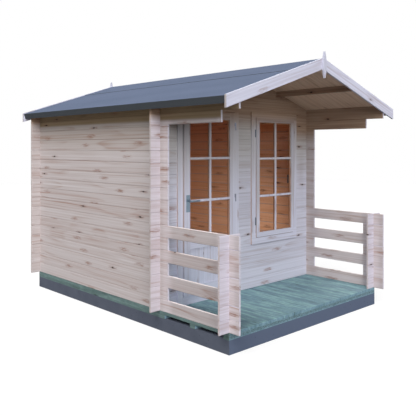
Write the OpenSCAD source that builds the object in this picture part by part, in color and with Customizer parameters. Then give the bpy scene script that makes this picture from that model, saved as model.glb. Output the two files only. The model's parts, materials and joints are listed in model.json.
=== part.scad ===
// Garden log cabin with an open porch, a felted gable roof, a half-glazed door and one window.
// Millimetres, +Z up, the front looks along -Y. The origin is the centre of the plinth's underside.

/* [Plan] */
// Width over the outer faces of the two side walls
wall_w = 2250; // [1900:10:2600]
// Depth over the outer faces of the front and back walls
room_d = 2350; // [2200:10:2500]
// Depth of the porch in front of the front wall
porch_d = 895; // [860:5:930]
// How far a log runs on past the log it crosses
log_over = 110; // [100:2:120]
// How far the side logs run on behind the back wall
back_over = 80; // [70:2:90]

/* [Logs] */
// Thickness of a log
log_t = 19; // [18:1:20]
// Height that one log adds to a wall
log_h = 114; // [113:0.5:115]
// Play between two logs that lie on each other
log_gap = 0.4; // [0.3:0.1:0.6]
// Bevel along the edges of a log
log_bevel = 4; // [2:0.5:5]
// Width of the tongue on a log
tongue_w = 6; // [5:0.5:7]
// Height of the tongue on a log
tongue_h = 6; // [4:0.5:8]
// Play around the tongue in its groove
tongue_gap = 0.4; // [0.3:0.1:0.6]
// Play at each side of a halved crossing
cross_gap = 0.3; // [0.2:0.1:0.5]
// Height planed off under an eave log where it runs on over the porch
porch_log_cut = 12; // [8:1:24]

/* [Base] */
// Height of the dark plinth
plinth_h = 120; // [80:5:160]
// Height of the green bearers that carry the walls
bearer_h = 62; // [56:1:70]
// Width of a bearer under a wall
bearer_w = 45; // [40:1:60]
// Width of a joist under the porch
joist_w = 66; // [50:1:80]
// Thickness of the porch deck
deck_t = 28; // [24:1:30]
// Thickness of the room floor
floor_t = 19; // [16:1:22]

/* [Roof] */
// Slope of the roof in degrees
pitch = 18.1; // [17.6:0.1:18.6]
// Height of the bevelled plate that tops a side wall, at its outer face
plate_h = 129; // [127:1:133]
// Roof beyond the outer face of a side wall
eave_over = 159; // [150:1:170]
// Roof in front of the porch posts
front_over = 110; // [110:2:124]
// Roof behind the back wall
rear_over = 86; // [86:2:100]
// Play between the layers of the roof and what carries them
roof_gap = 0.3; // [0.2:0.1:0.5]
// Thickness of the roof boards
board_t = 16; // [14:1:20]
// Thickness of the roofing felt
felt_t = 3; // [2:0.5:4]
// Height of the board under an eave
eave_board_h = 44; // [36:1:50]
// Thickness of the board under an eave
eave_board_t = 18; // [15:1:20]
// Level distance that the ridge strip covers on each slope
ridge_cover = 440; // [400:10:480]
// Width of a purlin
purlin_w = 44; // [40:1:50]
// Height of a purlin under the roof boards
purlin_h = 53; // [46:1:62]
// Level distance from the ridge to a purlin
purlin_x = 570; // [540:5:600]
// Plumb height of a barge board
barge_h = 105; // [95:1:112]
// Thickness of a barge board
barge_t = 20; // [16:1:22]
// Rise of a barge board over the felt
barge_rise = 8; // [6:0.5:12]
// Height of a finial
finial_h = 248; // [230:2:290]
// Width of a finial
finial_w = 54; // [46:1:90]
// Thickness of a finial
finial_t = 18; // [14:1:22]
// Rise of a finial over the ridge
finial_rise = 65; // [56:1:90]

/* [Door] */
// How far the door stands to the left of evenly spaced openings
door_shift = 12; // [0:1:30]
// Width over the door frame
door_w = 836; // [824:2:842]
// Top of the door frame above the deck
door_top = 1900; // [1896:1:1904]
// Face width of a frame at door and window
casing_w = 61; // [58:1:64]
// Frame thickness in front of and behind a wall
casing_t = 20; // [18:1:22]
// How far a frame laps over the log ends
casing_lap = 25; // [20:1:30]
// Height of the door sill
sill_h = 78; // [70:1:84]
// Thickness of the door leaf
leaf_t = 40; // [36:1:42]
// How far the leaf and the sash stand in front of their frames
leaf_proud = 12; // [10:1:14]
// Gap around the leaf
leaf_gap = 5; // [5:0.5:6]
// Extra gap at the edge that swings
swing_gap = 2; // [2:0.5:3]
// Width of a stile of the leaf
stile_w = 76; // [70:1:82]
// Height of the lock rail
lock_rail_h = 69; // [60:1:80]
// Height of the bottom rail
bottom_rail_h = 92; // [80:1:110]
// Bottom of the glass above the deck
glass_z = 600; // [590:1:610]
// Thickness of the panel boards
panel_t = 18; // [14:1:22]
// Thickness of the glass
glass_t = 4; // [3:0.5:6]

/* [Window] */
// How far the window stands to the left of evenly spaced openings
window_shift = 20; // [0:1:30]
// Width over the window frame
window_w = 772; // [756:2:780]
// Bottom of the window frame above the deck
window_z = 470; // [464:1:474]
// Width of a stile or rail of the sash
sash_w = 50; // [46:1:56]

/* [Hardware] */
// Height of a hinge
hinge_h = 78; // [60:1:90]
// Radius of a hinge barrel
hinge_r = 6; // [5:0.5:7]
// Radius of the hinge pin
pin_r = 3; // [2.5:0.25:3.5]
// Height of the lower hinge above the deck
hinge_z = 255; // [230:5:280]
// Distance from one door hinge to the next
hinge_step = 738; // [700:2:760]
// Height of the door lever above the deck
lever_z = 998; // [960:2:1020]
// Length of the door lever
lever_l = 105; // [90:1:120]
// Distance from the leaf to the lever
lever_out = 48; // [40:1:56]
// Radius of the lever and its spindle
lever_r = 8; // [6:0.5:9]
// Play around the spindle
spindle_gap = 1; // [0.5:0.25:2]
// Width of a lock plate
lock_plate_w = 48; // [40:1:52]
// Height of a lock plate
lock_plate_h = 165; // [140:1:190]
// Height of a lock plate over the spindle
lock_plate_up = 57; // [40:1:64]
// Distance from a lock plate to the inner edge of its stile
lock_plate_edge = 3; // [2:0.5:8]
// Thickness of lock plates and hinge flags
plate_t = 2; // [1.5:0.25:3]
// Reach of a hinge flag from the pin
flag_w = 12; // [9:0.5:24]
// Radius of a sash hinge barrel
sash_hinge_r = 5; // [4:0.5:6]
// Height of a sash hinge
sash_hinge_h = 84; // [60:1:100]
// Distance from an end of the sash to its hinge
sash_hinge_in = 131; // [100:1:160]
// Width of the catch plate inside the window
catch_w = 22; // [16:1:26]
// Height of the catch plate inside the window
catch_h = 80; // [70:1:90]
// Length of the catch handle
catch_l = 98; // [90:1:120]

/* [Hidden] */
$fn = 48;

// Courses of logs: full wall courses, porch rail courses and the courses inside a gable
wall_n = 16;
rail_n = 7;
gable_n = 5;
rails = [1, 3, 5, 7];
base_h = plinth_h + bearer_h;

// Faces of the walls and posts, from the left wall's outer face and the front wall's front face
back_y = room_d - log_t;
right_x = wall_w - log_t;
post_y = -porch_d;
porch_end = -porch_d - log_over;
eave_log_end = porch_end + 205;
roof_y0 = -porch_d - front_over;
roof_y1 = room_d + rear_over;

// Heights of the roof planes over the left half
slope = tan(pitch);
wall_top = wall_n * log_h;
function under_z(x) = wall_top + plate_h + x * slope;
function board_z(x) = under_z(x) + board_t / cos(pitch);
function felt_z(x) = board_z(x) + (roof_gap + felt_t) / cos(pitch);
function carry_z(x) = under_z(x) - roof_gap / cos(pitch);
mid_x = wall_w / 2;

// Door and window, seen from the front
front_y = -casing_t - leaf_proud;
leaf_back = front_y + leaf_t;
strip_w = (wall_w - door_w - window_w) / 3;
door_l = strip_w - door_shift;
door_r = door_l + door_w;
leaf_l = door_l + casing_w + leaf_gap + swing_gap;
leaf_r = door_r - casing_w - leaf_gap;
head_h = 24;
head_lap = 18;
leaf_z = sill_h + leaf_gap;
leaf_top = door_top - head_h - leaf_gap;
door_glass_top = leaf_top - stile_w;
window_l = 2 * strip_w + door_w - window_shift;
window_r = window_l + window_w;
window_top = door_top - 5;
sash_gap = 1;
sash_l = window_l + casing_w + sash_gap;
sash_r = window_r - casing_w - sash_gap;
window_sill_w = casing_w + 11;
window_head_w = casing_w - 5;
sash_z = window_z + window_sill_w + sash_gap;
sash_top = window_top - window_head_w - sash_gap;
stop_lap = 10;
pivot_x = leaf_r + leaf_gap / 2;
pivot_y = front_y - hinge_r;
lever_x = leaf_l + stile_w - lock_plate_edge - lock_plate_w / 2;

pine = "#cbc1bd";
planed = "#d2cfdc";
green = "#64877c";
felt_grey = "#75829b";
steel = "#7f8ca0";
dark = "#50545e";
clear = "#9a6a4a";

// Extrudes a shape drawn in X and Z along Y
module along_y(y0, y1) translate([0, y1, 0]) rotate([90, 0, 0]) linear_extrude(y1 - y0) children();

// Extrudes a shape drawn in Y and Z along X
module along_x(x0, x1) translate([x0, 0, 0]) rotate([90, 0, 90]) linear_extrude(x1 - x0) children();

// A box from one corner to the opposite one
module box(a, b) translate(a) cube(b - a);

// From wall coordinates to the part's frame
module place() translate([-mid_x, (porch_d - room_d) / 2, base_h]) children();

// Turns what is drawn for the left side into the right side
module right_side() translate([wall_w, 0, 0]) mirror([1, 0, 0]) children();

// Cross section of a log from its foot up, with a tongue on top and a groove below
module log_section(tongue = true, groove = true, foot = 0) {
    top = log_h - log_gap;
    tl = (log_t - tongue_w) / 2;
    tr = (log_t + tongue_w) / 2;
    gl = tl - tongue_gap;
    gr = tr + tongue_gap;
    gd = tongue_h + tongue_gap;
    low = groove ? [[gl, 0], [gl, gd], [gr, gd], [gr, 0]] : [];
    high = tongue ? [[tr, top], [tr, top + tongue_h], [tl, top + tongue_h], [tl, top]] : [];
    polygon(concat(
        [[log_bevel, foot]], low,
        [[log_t - log_bevel, foot], [log_t, foot + log_bevel]],
        [[log_t, top - log_bevel], [log_t - log_bevel, top]],
        high,
        [[log_bevel, top], [0, top - log_bevel], [0, foot + log_bevel]]
    ));
}

function course_z(n) = (n - 1) * log_h;

// Half of the log is cut from above where logs along X cross it
module notched_above(z, ys) difference() {
    children();
    for (y = ys)
        box([-1, y - cross_gap, z + log_h / 2], [log_t + 1, y + log_t + cross_gap, z + 2 * log_h]);
}

// Half of the log is cut from below where logs along Y cross it, and the tongue above
module notched_below(z, y, xs) difference() {
    children();
    for (x = xs, cut = [[z - 1, z + log_h / 2 + cross_gap], [z + log_h - log_gap, z + 2 * log_h]])
        box([x - cross_gap, y - 1, cut[0]], [x + log_t + cross_gap, y + log_t + 1, cut[1]]);
}

// A log along Y of the left wall in course n
module y_log(n, y0, y1, ys) translate([0, 0, course_z(n)]) notched_above(0, ys)
    along_y(y0, y1) log_section(groove = n > 1);

// A log along X with its front face at y
module x_log(n, y, x0, x1, xs) translate([0, 0, course_z(n)]) notched_below(0, y, xs)
    translate([0, y, 0]) along_x(x0, x1) log_section(groove = n > 1);

// A short log of a post, with no tongue
module post_log(n, across) translate([0, 0, course_z(n)])
    if (across) notched_below(0, post_y, [0])
        translate([0, post_y, 0]) along_x(-log_over, log_t + log_over) log_section(false, false);
    else notched_above(0, [post_y])
        along_y(porch_end, post_y + log_t + log_over) log_section(false, false);

module base_plinth() color(dark) translate([0, 0, plinth_h / 2])
    cube([wall_w, porch_d + room_d, plinth_h], center = true);

// Bearers under the walls, joists under the room floor and joists under the porch
module base_bearers() color(green) place() {
    room_joists = 4;
    cut = bearer_w + log_gap;
    for (y = [0, room_d - bearer_w]) box([0, y, -bearer_h], [wall_w, y + bearer_w, 0]);
    for (x = [0, wall_w - bearer_w]) box([x, cut, -bearer_h], [x + bearer_w, room_d - cut, 0]);
    for (i = [1:room_joists]) {
        y = cut + (room_d - 2 * cut) * (i - 0.5) / room_joists - bearer_w / 2;
        box([cut, y, -bearer_h], [wall_w - cut, y + bearer_w, -floor_t]);
    }
    for (y = [post_y, (post_y - joist_w) / 2, -joist_w - log_gap])
        box([0, y, -bearer_h], [wall_w, y + joist_w, -deck_t]);
}

module room_floor() color(pine) place() {
    cut = bearer_w + log_gap;
    box([cut, cut, -floor_t], [wall_w - cut, room_d - cut, 0]);
}

module porch_deck() color(green) place() box([0, post_y, -deck_t], [wall_w, -log_gap, 0]);

// Courses of a side wall that end just in front of the front wall
module side_wall() color(pine)
    for (n = [1:wall_n - 1]) if (len(search(n, rails)) == 0)
        y_log(n, -log_over, room_d + back_over, [0, back_y]);

module left_wall() place() side_wall();

module right_wall() place() right_side() side_wall();

// Courses that run on through the porch as rails, flat on top there
module side_rails() color(pine) for (n = rails) translate([0, 0, course_z(n)])
    notched_above(0, [post_y, 0, back_y]) {
        along_y(porch_end, -log_over) log_section(false, false);
        along_y(-log_over, room_d + back_over) log_section(groove = n > 1);
    }

module left_rails() place() side_rails();

module right_rails() place() right_side() side_rails();

// The last full course, planed off below over the porch, and the bevelled plate that carries the roof
module side_eave_logs() color(pine) {
    translate([0, 0, course_z(wall_n)]) notched_above(0, [0, back_y]) {
        along_y(eave_log_end, -log_over) log_section(groove = false, foot = porch_log_cut);
        along_y(-log_over, room_d + back_over) log_section();
    }
    groove = [tongue_w + 2 * tongue_gap, 2 * (tongue_h + tongue_gap)];
    translate([0, 0, wall_top]) notched_above(0, [0, back_y])
        along_y(roof_y0, room_d + back_over) difference() {
            polygon([[0, 0], [log_t, 0], [log_t, carry_z(log_t) - wall_top], [0, carry_z(0) - wall_top]]);
            translate([log_t / 2, 0]) square(groove, center = true);
        }
}

module left_eave_logs() place() side_eave_logs();

module right_eave_logs() place() right_side() side_eave_logs();

module back_wall() color(pine) place()
    for (n = [1:wall_n]) x_log(n, back_y, -log_over, wall_w + log_over, [0, right_x]);

// Room under the roof boards, as a shape in X and Z
module under_roof() polygon([[-eave_over, carry_z(-eave_over)], [mid_x, carry_z(mid_x)],
    [wall_w + eave_over, carry_z(-eave_over)], [wall_w + eave_over, 0], [-eave_over, 0]]);

// Gable courses a to b cut to the slope and let down over the purlins
module gable(y, a, b) difference() {
    intersection() {
        for (i = [a:b])
            x_log(wall_n + i, y, -log_over, wall_w + log_over, i == 1 ? [0, right_x] : []);
        along_y(y - 1, y + log_t + 1) under_roof();
    }
    for (s = [-1, 1]) {
        half = purlin_w / 2 + cross_gap;
        low = under_z(mid_x - purlin_x) - purlin_h - cross_gap;
        translate([mid_x + s * purlin_x, y, low]) box([-half, -2, 0], [half, log_t + 2, 4 * log_h]);
    }
}

module back_gable() color(pine) place() gable(back_y, 1, gable_n);

// Front courses a to b between two ends, halved over the side walls at xs
module front_logs(a, b, x0, x1, xs = []) color(pine) place()
    for (n = [a:b]) x_log(n, 0, x0, x1, xs);

module door_hole() box([door_l + casing_lap, -50, -50], [door_r - casing_lap, 100, door_top - head_lap]);

module window_hole() box([window_l + casing_lap, -50, window_z + casing_lap],
    [window_r - casing_lap, 100, window_top - head_lap]);

// Course that the bottom of the window cuts into
window_n = floor((window_z + casing_lap) / log_h) + 1;

module front_wall_left() front_logs(1, wall_n, -log_over, door_l + casing_lap, [0]);

module front_wall_below_window() difference() {
    front_logs(1, window_n, door_r - casing_lap, wall_w + log_over, [right_x]);
    place() window_hole();
}

module front_wall_middle() front_logs(window_n + 1, wall_n, door_r - casing_lap, window_l + casing_lap);

module front_wall_right()
    front_logs(window_n + 1, wall_n, window_r - casing_lap, wall_w + log_over, [right_x]);

// The course over the openings, cut back over the door and the window
module front_lintel_log() color(pine) place() difference() {
    gable(0, 1, 1);
    door_hole();
    window_hole();
}

module front_gable() color(pine) place() gable(0, 2, gable_n);

// Cross of short logs through which the rails run
module post() color(pine) for (n = [1:rail_n]) {
    post_log(n, true);
    if (len(search(n, rails)) == 0) post_log(n, false);
}

module left_post() place() post();

module right_post() place() right_side() post();

module both_sides() { children(); right_side() children(); }

module roof_purlins() color(pine) place() both_sides() along_y(roof_y0, roof_y1) {
    x0 = mid_x - purlin_x - purlin_w / 2;
    low = under_z(mid_x - purlin_x) - purlin_h;
    polygon([[x0, low], [x0 + purlin_w, low], [x0 + purlin_w, carry_z(x0 + purlin_w)], [x0, carry_z(x0)]]);
}

// Eave corner of the felt, and the directions up the slope and square to it
up_slope = [cos(pitch), sin(pitch)];
down = [sin(pitch), -cos(pitch)];
felt_eave = [-eave_over, felt_z(-eave_over)];
board_eave = felt_eave + (felt_t + roof_gap) * (up_slope + down);
strip_eave = board_eave + (board_t + roof_gap) * down;
ridge_cut = mid_x - log_gap / 2;

module roof_boards() along_y(roof_y0, roof_y1) polygon([board_eave, board_eave + board_t * down,
    [ridge_cut, under_z(ridge_cut)], [ridge_cut, board_z(ridge_cut)]]);

module left_roof_boards() color(pine) place() roof_boards();

module right_roof_boards() color(pine) place() right_side() roof_boards();

// Strips square to the slope under the ends of the roof boards
module eave_boards() color(pine) place() both_sides() along_y(roof_y0, roof_y1)
    polygon([strip_eave, strip_eave + eave_board_t * up_slope,
        strip_eave + eave_board_t * up_slope + eave_board_h * down, strip_eave + eave_board_h * down]);

// Felt over the boards, turned down over the eave
module felt() along_y(roof_y0, roof_y1) {
    fold = felt_eave + (felt_t + board_t + 2 * roof_gap + eave_board_h) * down;
    polygon([felt_eave, fold, fold + felt_t * up_slope, felt_eave + felt_t * (up_slope + down),
        [ridge_cut, felt_z(ridge_cut) - felt_t / cos(pitch)], [ridge_cut, felt_z(ridge_cut)]]);
}

module left_roof_felt() color(felt_grey) place() felt();

module right_roof_felt() color(felt_grey) place() right_side() felt();

module ridge_felt() color(felt_grey) place() along_y(roof_y0, roof_y1) {
    x0 = mid_x - ridge_cover;
    xs = [x0, mid_x, wall_w - x0];
    zs = [for (x = [x0, mid_x, x0]) felt_z(x) + roof_gap / cos(pitch)];
    lift = felt_t / cos(pitch);
    polygon([for (i = [0, 1, 2]) [xs[i], zs[i]], for (i = [2, 1, 0]) [xs[i], zs[i] + lift]]);
}

module barge_boards(y) both_sides() along_y(y, y + barge_t) {
    x0 = -eave_over - 6;
    x1 = mid_x - log_gap / 2;
    polygon([[x0, felt_z(x0) + barge_rise - barge_h], [x1, felt_z(x1) + barge_rise - barge_h],
        [x1, felt_z(x1) + barge_rise], [x0, felt_z(x0) + barge_rise]]);
}

module front_barge_boards() color(planed) place() barge_boards(roof_y0 - barge_t);

module back_barge_boards() color(planed) place() barge_boards(roof_y1);

// Leaf with bowed sides and blunted tips
module finial(y) translate([mid_x, 0, felt_z(mid_x) + finial_rise - finial_h / 2]) along_y(y, y + finial_t) {
    tip = 0.16;
    w = finial_w / 2;
    h = finial_h / 2;
    polygon([for (s = [1, -1]) for (t = [-1 : 0.25 : 1]) [s * w * max(1 - t * t, tip), s * t * h]]);
}

module roof_finials() color(planed) place() {
    finial(roof_y0 - barge_t - finial_t);
    finial(roof_y1 + barge_t);
}

// Frame section that grips the log ends, seen from above at a left jamb whose outer edge is at 0
module jamb_section(inner, stop_y, stop) polygon([
    [0, -casing_t], [inner, -casing_t], [inner, stop_y], [inner + stop, stop_y],
    [inner + stop, log_t + casing_t], [0, log_t + casing_t], [0, log_t + cross_gap],
    [casing_lap + cross_gap, log_t + cross_gap], [casing_lap + cross_gap, -cross_gap], [0, -cross_gap]]);

module door_jambs() color(planed) place() {
    stop_y = leaf_back + leaf_gap;
    translate([door_l, 0, 0]) linear_extrude(door_top - head_h - log_gap)
        jamb_section(casing_w, stop_y, stop_lap);
    translate([door_r, 0, 0]) mirror([1, 0, 0]) linear_extrude(door_top - head_h - log_gap)
        jamb_section(casing_w, stop_y, stop_lap);
}

// Head over both jambs, cut back where the gable log drops into it
module door_head() color(planed) place() difference() {
    box([door_l, -casing_t, door_top - head_h], [door_r, log_t + casing_t, door_top]);
    y1 = log_t + cross_gap;
    box([door_l - 1, -cross_gap, door_top - head_lap - cross_gap], [door_r + 1, y1, door_top + 1]);
    for (x = [door_l - 1, door_r - casing_lap - cross_gap])
        box([x, -cross_gap, door_top - head_h - 1], [x + casing_lap + cross_gap + 1, y1, door_top + 1]);
}

// Sill between the jambs, cut back round their stops
module door_sill() color(planed) place() difference() {
    in = casing_w + log_gap;
    box([door_l + in, -casing_t, 0], [door_r - in, log_t + casing_t, sill_h]);
    for (x = [door_l + casing_w, door_r - casing_w - stop_lap])
        box([x - log_gap, leaf_back + leaf_gap - log_gap, -1], [x + stop_lap + log_gap, 100, sill_h + 1]);
}

module door_stiles() color(planed) place() {
    difference() {
        box([leaf_l, front_y, leaf_z], [leaf_l + stile_w, leaf_back, leaf_top]);
        translate([lever_x, front_y - 1, lever_z]) rotate([-90, 0, 0])
            cylinder(r = lever_r + spindle_gap, h = leaf_t + 2);
    }
    box([leaf_r - stile_w, front_y, leaf_z], [leaf_r, leaf_back, leaf_top]);
}

rail_l = leaf_l + stile_w;
rail_r = leaf_r - stile_w;
panel_z0 = leaf_z + bottom_rail_h;
panel_z1 = glass_z - lock_rail_h;

module door_rails() color(planed) place() {
    box([rail_l, front_y, leaf_z], [rail_r, leaf_back, panel_z0]);
    box([rail_l, front_y, panel_z1], [rail_r, leaf_back, glass_z]);
    box([rail_l, front_y, door_glass_top], [rail_r, leaf_back, leaf_top]);
}

// A sheet in the middle of the leaf's or sash's thickness
module sheet(x0, x1, z0, z1, thick) {
    y = front_y + leaf_t / 2 - thick / 2;
    box([x0, y, z0], [x1, y + thick, z1]);
}

module door_panel() color(planed) place() sheet(rail_l, rail_r, panel_z0, panel_z1, panel_t);

module door_glass() color(clear) place() sheet(rail_l, rail_r, glass_z, door_glass_top, glass_t);

hinge_zs = [for (i = [0:2]) hinge_z + i * hinge_step];
half_h = hinge_h / 2 - 0.5;

// Upper half barrels with a flag on the leaf
module door_hinge_leaves() color(steel) place() for (z = hinge_zs) translate([pivot_x, pivot_y, z + 0.5])
    difference() {
        union() {
            cylinder(r = hinge_r, h = half_h);
            box([-flag_w, hinge_r - plate_t, 0], [0, hinge_r, half_h]);
        }
        translate([0, 0, -1]) cylinder(r = pin_r + 0.4, h = half_h - 3);
    }

// Lower half barrels with their pins and a flag on the right jamb
module door_hinge_seats() color(steel) place() for (z = hinge_zs)
    translate([pivot_x, pivot_y, z - half_h - 0.5]) {
        face = -casing_t - pivot_y;
        cylinder(r = hinge_r, h = half_h);
        cylinder(r = pin_r, h = 2 * half_h - 6);
        box([leaf_gap / 2, 0, 0], [hinge_r, face, half_h]);
        box([leaf_gap / 2, face - plate_t, 0], [flag_w, face, half_h]);
    }

// Long plates on both faces of the leaf, open around the spindle
module door_lock_plates() color(steel) place() for (y = [front_y - plate_t, leaf_back])
    translate([lever_x, y, lever_z]) difference() {
        translate([-lock_plate_w / 2, 0, lock_plate_up - lock_plate_h])
            cube([lock_plate_w, plate_t, lock_plate_h]);
        translate([0, -1, 0]) rotate([-90, 0, 0]) cylinder(r = lever_r + spindle_gap, h = plate_t + 2);
    }

// Two levers on one spindle
module door_levers() color(steel) place() translate([lever_x, 0, lever_z]) {
    y0 = front_y - lever_out;
    y1 = leaf_back + lever_out;
    translate([0, y0, 0]) rotate([-90, 0, 0]) cylinder(r = lever_r, h = y1 - y0);
    for (y = [y0, y1]) translate([0, y, 0]) {
        rotate([0, 90, 0]) cylinder(r = lever_r, h = lever_l);
        for (x = [0, lever_l]) translate([x, 0, 0]) sphere(r = lever_r);
    }
}

// Jambs, head and sill of the window, gripping the logs around the opening
module window_frame() color(planed) place() {
    stop_y = leaf_back;
    in = casing_w + log_gap;
    y1 = log_t + cross_gap;
    difference() {
        for (s = [0, 1]) translate([s == 0 ? window_l : window_r, 0, window_z]) mirror([s, 0, 0])
            linear_extrude(window_top - window_z) jamb_section(casing_w, stop_y, stop_lap);
        for (z = [[window_z - 1, window_z + casing_lap], [window_top - head_lap, window_top + 1]])
            box([window_l - 1, -cross_gap, z[0] - cross_gap], [window_r + 1, y1, z[1] + cross_gap]);
    }
    difference() {
        along_x(window_l + in, window_r - in) {
            translate([0, window_z]) rail_section(window_sill_w, casing_lap);
            translate([0, window_top]) mirror([0, 1]) rail_section(window_head_w, head_lap);
        }
        for (x = [window_l + casing_w, window_r - casing_w - stop_lap])
            box([x - log_gap, stop_y - log_gap, 0], [x + stop_lap + log_gap, 100, window_top + 1]);
    }
}

// Frame section of a level member, drawn in Y and Z with its outer edge at 0
module rail_section(inner, lap) polygon([
    [-casing_t, 0], [-casing_t, inner], [log_t + casing_t, inner], [log_t + casing_t, 0],
    [log_t + cross_gap, 0], [log_t + cross_gap, lap + cross_gap], [-cross_gap, lap + cross_gap],
    [-cross_gap, 0]]);

module window_sash() color(planed) place() {
    for (x = [sash_l, sash_r - sash_w]) box([x, front_y, sash_z], [x + sash_w, leaf_back, sash_top]);
    in = sash_w + log_gap / 2;
    for (z = [sash_z, sash_top - sash_w])
        box([sash_l + in, front_y, z], [sash_r - in, leaf_back, z + sash_w]);
}

module window_glass() color(clear) place()
    sheet(sash_l + sash_w, sash_r - sash_w, sash_z + sash_w, sash_top - sash_w, glass_t);

// Hinge barrels in the corner between frame and sash, each with one flag on either
module sash_hinge() translate([sash_l - sash_gap - sash_hinge_r, -casing_t - sash_hinge_r - cross_gap, 0]) {
    reach = sash_hinge_r + sash_gap;
    seat = sash_hinge_r + cross_gap;
    cylinder(r = sash_hinge_r, h = sash_hinge_h);
    box([0, -plate_t / 2, 0], [reach, plate_t / 2, sash_hinge_h]);
    box([-plate_t / 2, 0, 0], [plate_t / 2, seat, sash_hinge_h]);
    box([-reach, seat - plate_t, 0], [0, seat, sash_hinge_h]);
}

// Catch plate on the inner face of the sash, with a handle on a short spindle
module sash_catch() translate([sash_r - sash_w / 2, leaf_back, (sash_z + sash_top) / 2]) {
    spindle_l = 22;
    base_t = 6;
    handle_w = 16;
    handle_t = 10;
    box([-catch_w / 2, 0, -catch_h / 2], [catch_w / 2, base_t, catch_h / 2]);
    translate([0, base_t, 0]) rotate([-90, 0, 0]) cylinder(r = 7, h = spindle_l);
    translate([-handle_w / 2, base_t + spindle_l - 2, handle_w / 2 - catch_l])
        cube([handle_w, handle_t, catch_l]);
}

module window_fittings() color(steel) place() {
    for (z = [sash_z + sash_hinge_in, sash_top - sash_hinge_in - sash_hinge_h])
        translate([0, 0, z]) sash_hinge();
    sash_catch();
}

base_plinth();
base_bearers();
room_floor();
porch_deck();
left_wall();
left_rails();
left_eave_logs();
right_wall();
right_rails();
right_eave_logs();
back_wall();
back_gable();
front_wall_left();
front_wall_below_window();
front_wall_middle();
front_wall_right();
front_lintel_log();
front_gable();
left_post();
right_post();
roof_purlins();
left_roof_boards();
right_roof_boards();
eave_boards();
left_roof_felt();
right_roof_felt();
ridge_felt();
front_barge_boards();
back_barge_boards();
roof_finials();
door_jambs();
door_head();
door_sill();
door_stiles();
door_rails();
door_panel();
door_glass();
door_hinge_leaves();
door_hinge_seats();
door_lock_plates();
door_levers();
window_frame();
window_sash();
window_glass();
window_fittings();
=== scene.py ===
"""Dressed model of a log cabin with a railed porch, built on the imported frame."""

from __future__ import annotations

import json
import logging
import math
from dataclasses import dataclass
from enum import Enum
from typing import Any, Callable, Sequence

import bmesh
import bpy
from mathutils import Euler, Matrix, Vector

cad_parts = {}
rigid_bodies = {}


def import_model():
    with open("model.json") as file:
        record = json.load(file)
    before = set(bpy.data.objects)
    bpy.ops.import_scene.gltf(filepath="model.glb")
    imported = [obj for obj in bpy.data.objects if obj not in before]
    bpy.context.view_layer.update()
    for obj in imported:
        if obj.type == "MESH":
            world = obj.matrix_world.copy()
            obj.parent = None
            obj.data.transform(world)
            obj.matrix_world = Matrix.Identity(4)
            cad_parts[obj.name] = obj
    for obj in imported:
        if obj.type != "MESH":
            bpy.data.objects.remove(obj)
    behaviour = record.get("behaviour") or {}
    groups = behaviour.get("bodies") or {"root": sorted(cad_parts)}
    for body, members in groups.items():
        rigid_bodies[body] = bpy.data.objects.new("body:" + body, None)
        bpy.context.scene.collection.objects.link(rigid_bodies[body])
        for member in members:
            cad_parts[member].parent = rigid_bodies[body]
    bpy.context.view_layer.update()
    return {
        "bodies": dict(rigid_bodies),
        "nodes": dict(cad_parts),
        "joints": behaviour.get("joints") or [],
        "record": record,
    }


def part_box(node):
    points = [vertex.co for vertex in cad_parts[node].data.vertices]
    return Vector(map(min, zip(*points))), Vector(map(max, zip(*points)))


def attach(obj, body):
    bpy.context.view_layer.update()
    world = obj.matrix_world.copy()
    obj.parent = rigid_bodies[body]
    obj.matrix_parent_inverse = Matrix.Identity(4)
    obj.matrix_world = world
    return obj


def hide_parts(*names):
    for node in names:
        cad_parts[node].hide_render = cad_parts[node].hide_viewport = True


LOG = logging.getLogger("log_cabin")

Tree = bpy.types.NodeTree
Socket = bpy.types.NodeSocket
Mesh = bmesh.types.BMesh
Point = tuple[float, float]
Triple = tuple[float, float, float]
Range = tuple[float | None, float | None]
Place = Callable[[float, float, float], Vector]

CABIN = "cabin"
DOOR = "door"
IMAGE_SIDE = 416
PITCH = math.radians(18.1)
COS, SIN, TAN = math.cos(PITCH), math.sin(PITCH), math.tan(PITCH)
DECK_TOP = 0.182
LOG_H = 0.114
# Inner faces of the side walls, and the middle of the right rails
SIDE_IN = 1.106
RAIL_MID = 1.1155
# Outer face of the front wall, and about half-way through it
FRONT_OUT = -0.7275
FRONT_MID = -0.7192
# About half-way through the panes, 1 mm behind them, and 0.3 mm short of the leaf's inner face
PANE_MID = -0.7393
BED_IN = -0.7365
LEAF_IN = -0.7198
# Middle of the short logs that cross in the porch posts, and just over half their thickness
STUB_Y = -1.613
STUB_HALF = 0.0097


def linear(colour: str) -> tuple[float, float, float, float]:
    """Turns an sRGB hex colour into linear light.

    Args:
        colour: Six hex digits with a leading hash.

    Returns:
        Red, green, blue and an alpha of 1.
    """
    parts = [int(colour[i : i + 2], 16) / 255 for i in (1, 3, 5)]
    light = [c / 12.92 if c <= 0.04045 else ((c + 0.055) / 1.055) ** 2.4 for c in parts]
    return (*light, 1.0)


def add(
    tree: Tree,
    kind: str,
    links: dict[Any, Any] | None = None,
    out: Any = 0,
    ramp: Sequence[tuple[float, str]] = (),
    **settings: Any,
) -> Socket | None:
    """Adds one shader node with its settings and links.

    Args:
        tree: The node tree that the node goes into.
        kind: The node's class name without ShaderNode.
        links: Input by name or number, with a socket to link or a plain value.
        out: The wanted output by name or number, or None.
        ramp: Stops of a colour ramp as place and hex colour.
        settings: Attributes of the node.

    Returns:
        The wanted output socket.
    """
    node = tree.nodes.new("ShaderNode" + kind)
    for key, value in settings.items():
        setattr(node, key, value)
    for key, value in (links or {}).items():
        if isinstance(value, Socket):
            tree.links.new(value, node.inputs[key])
        else:
            node.inputs[key].default_value = value
    if ramp:
        stops = node.color_ramp.elements
        while len(stops) < len(ramp):
            stops.new(0.5)
        for stop, (place, colour) in zip(stops, ramp):
            stop.position = place
            stop.color = linear(colour)
    return None if out is None else node.outputs[out]


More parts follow.
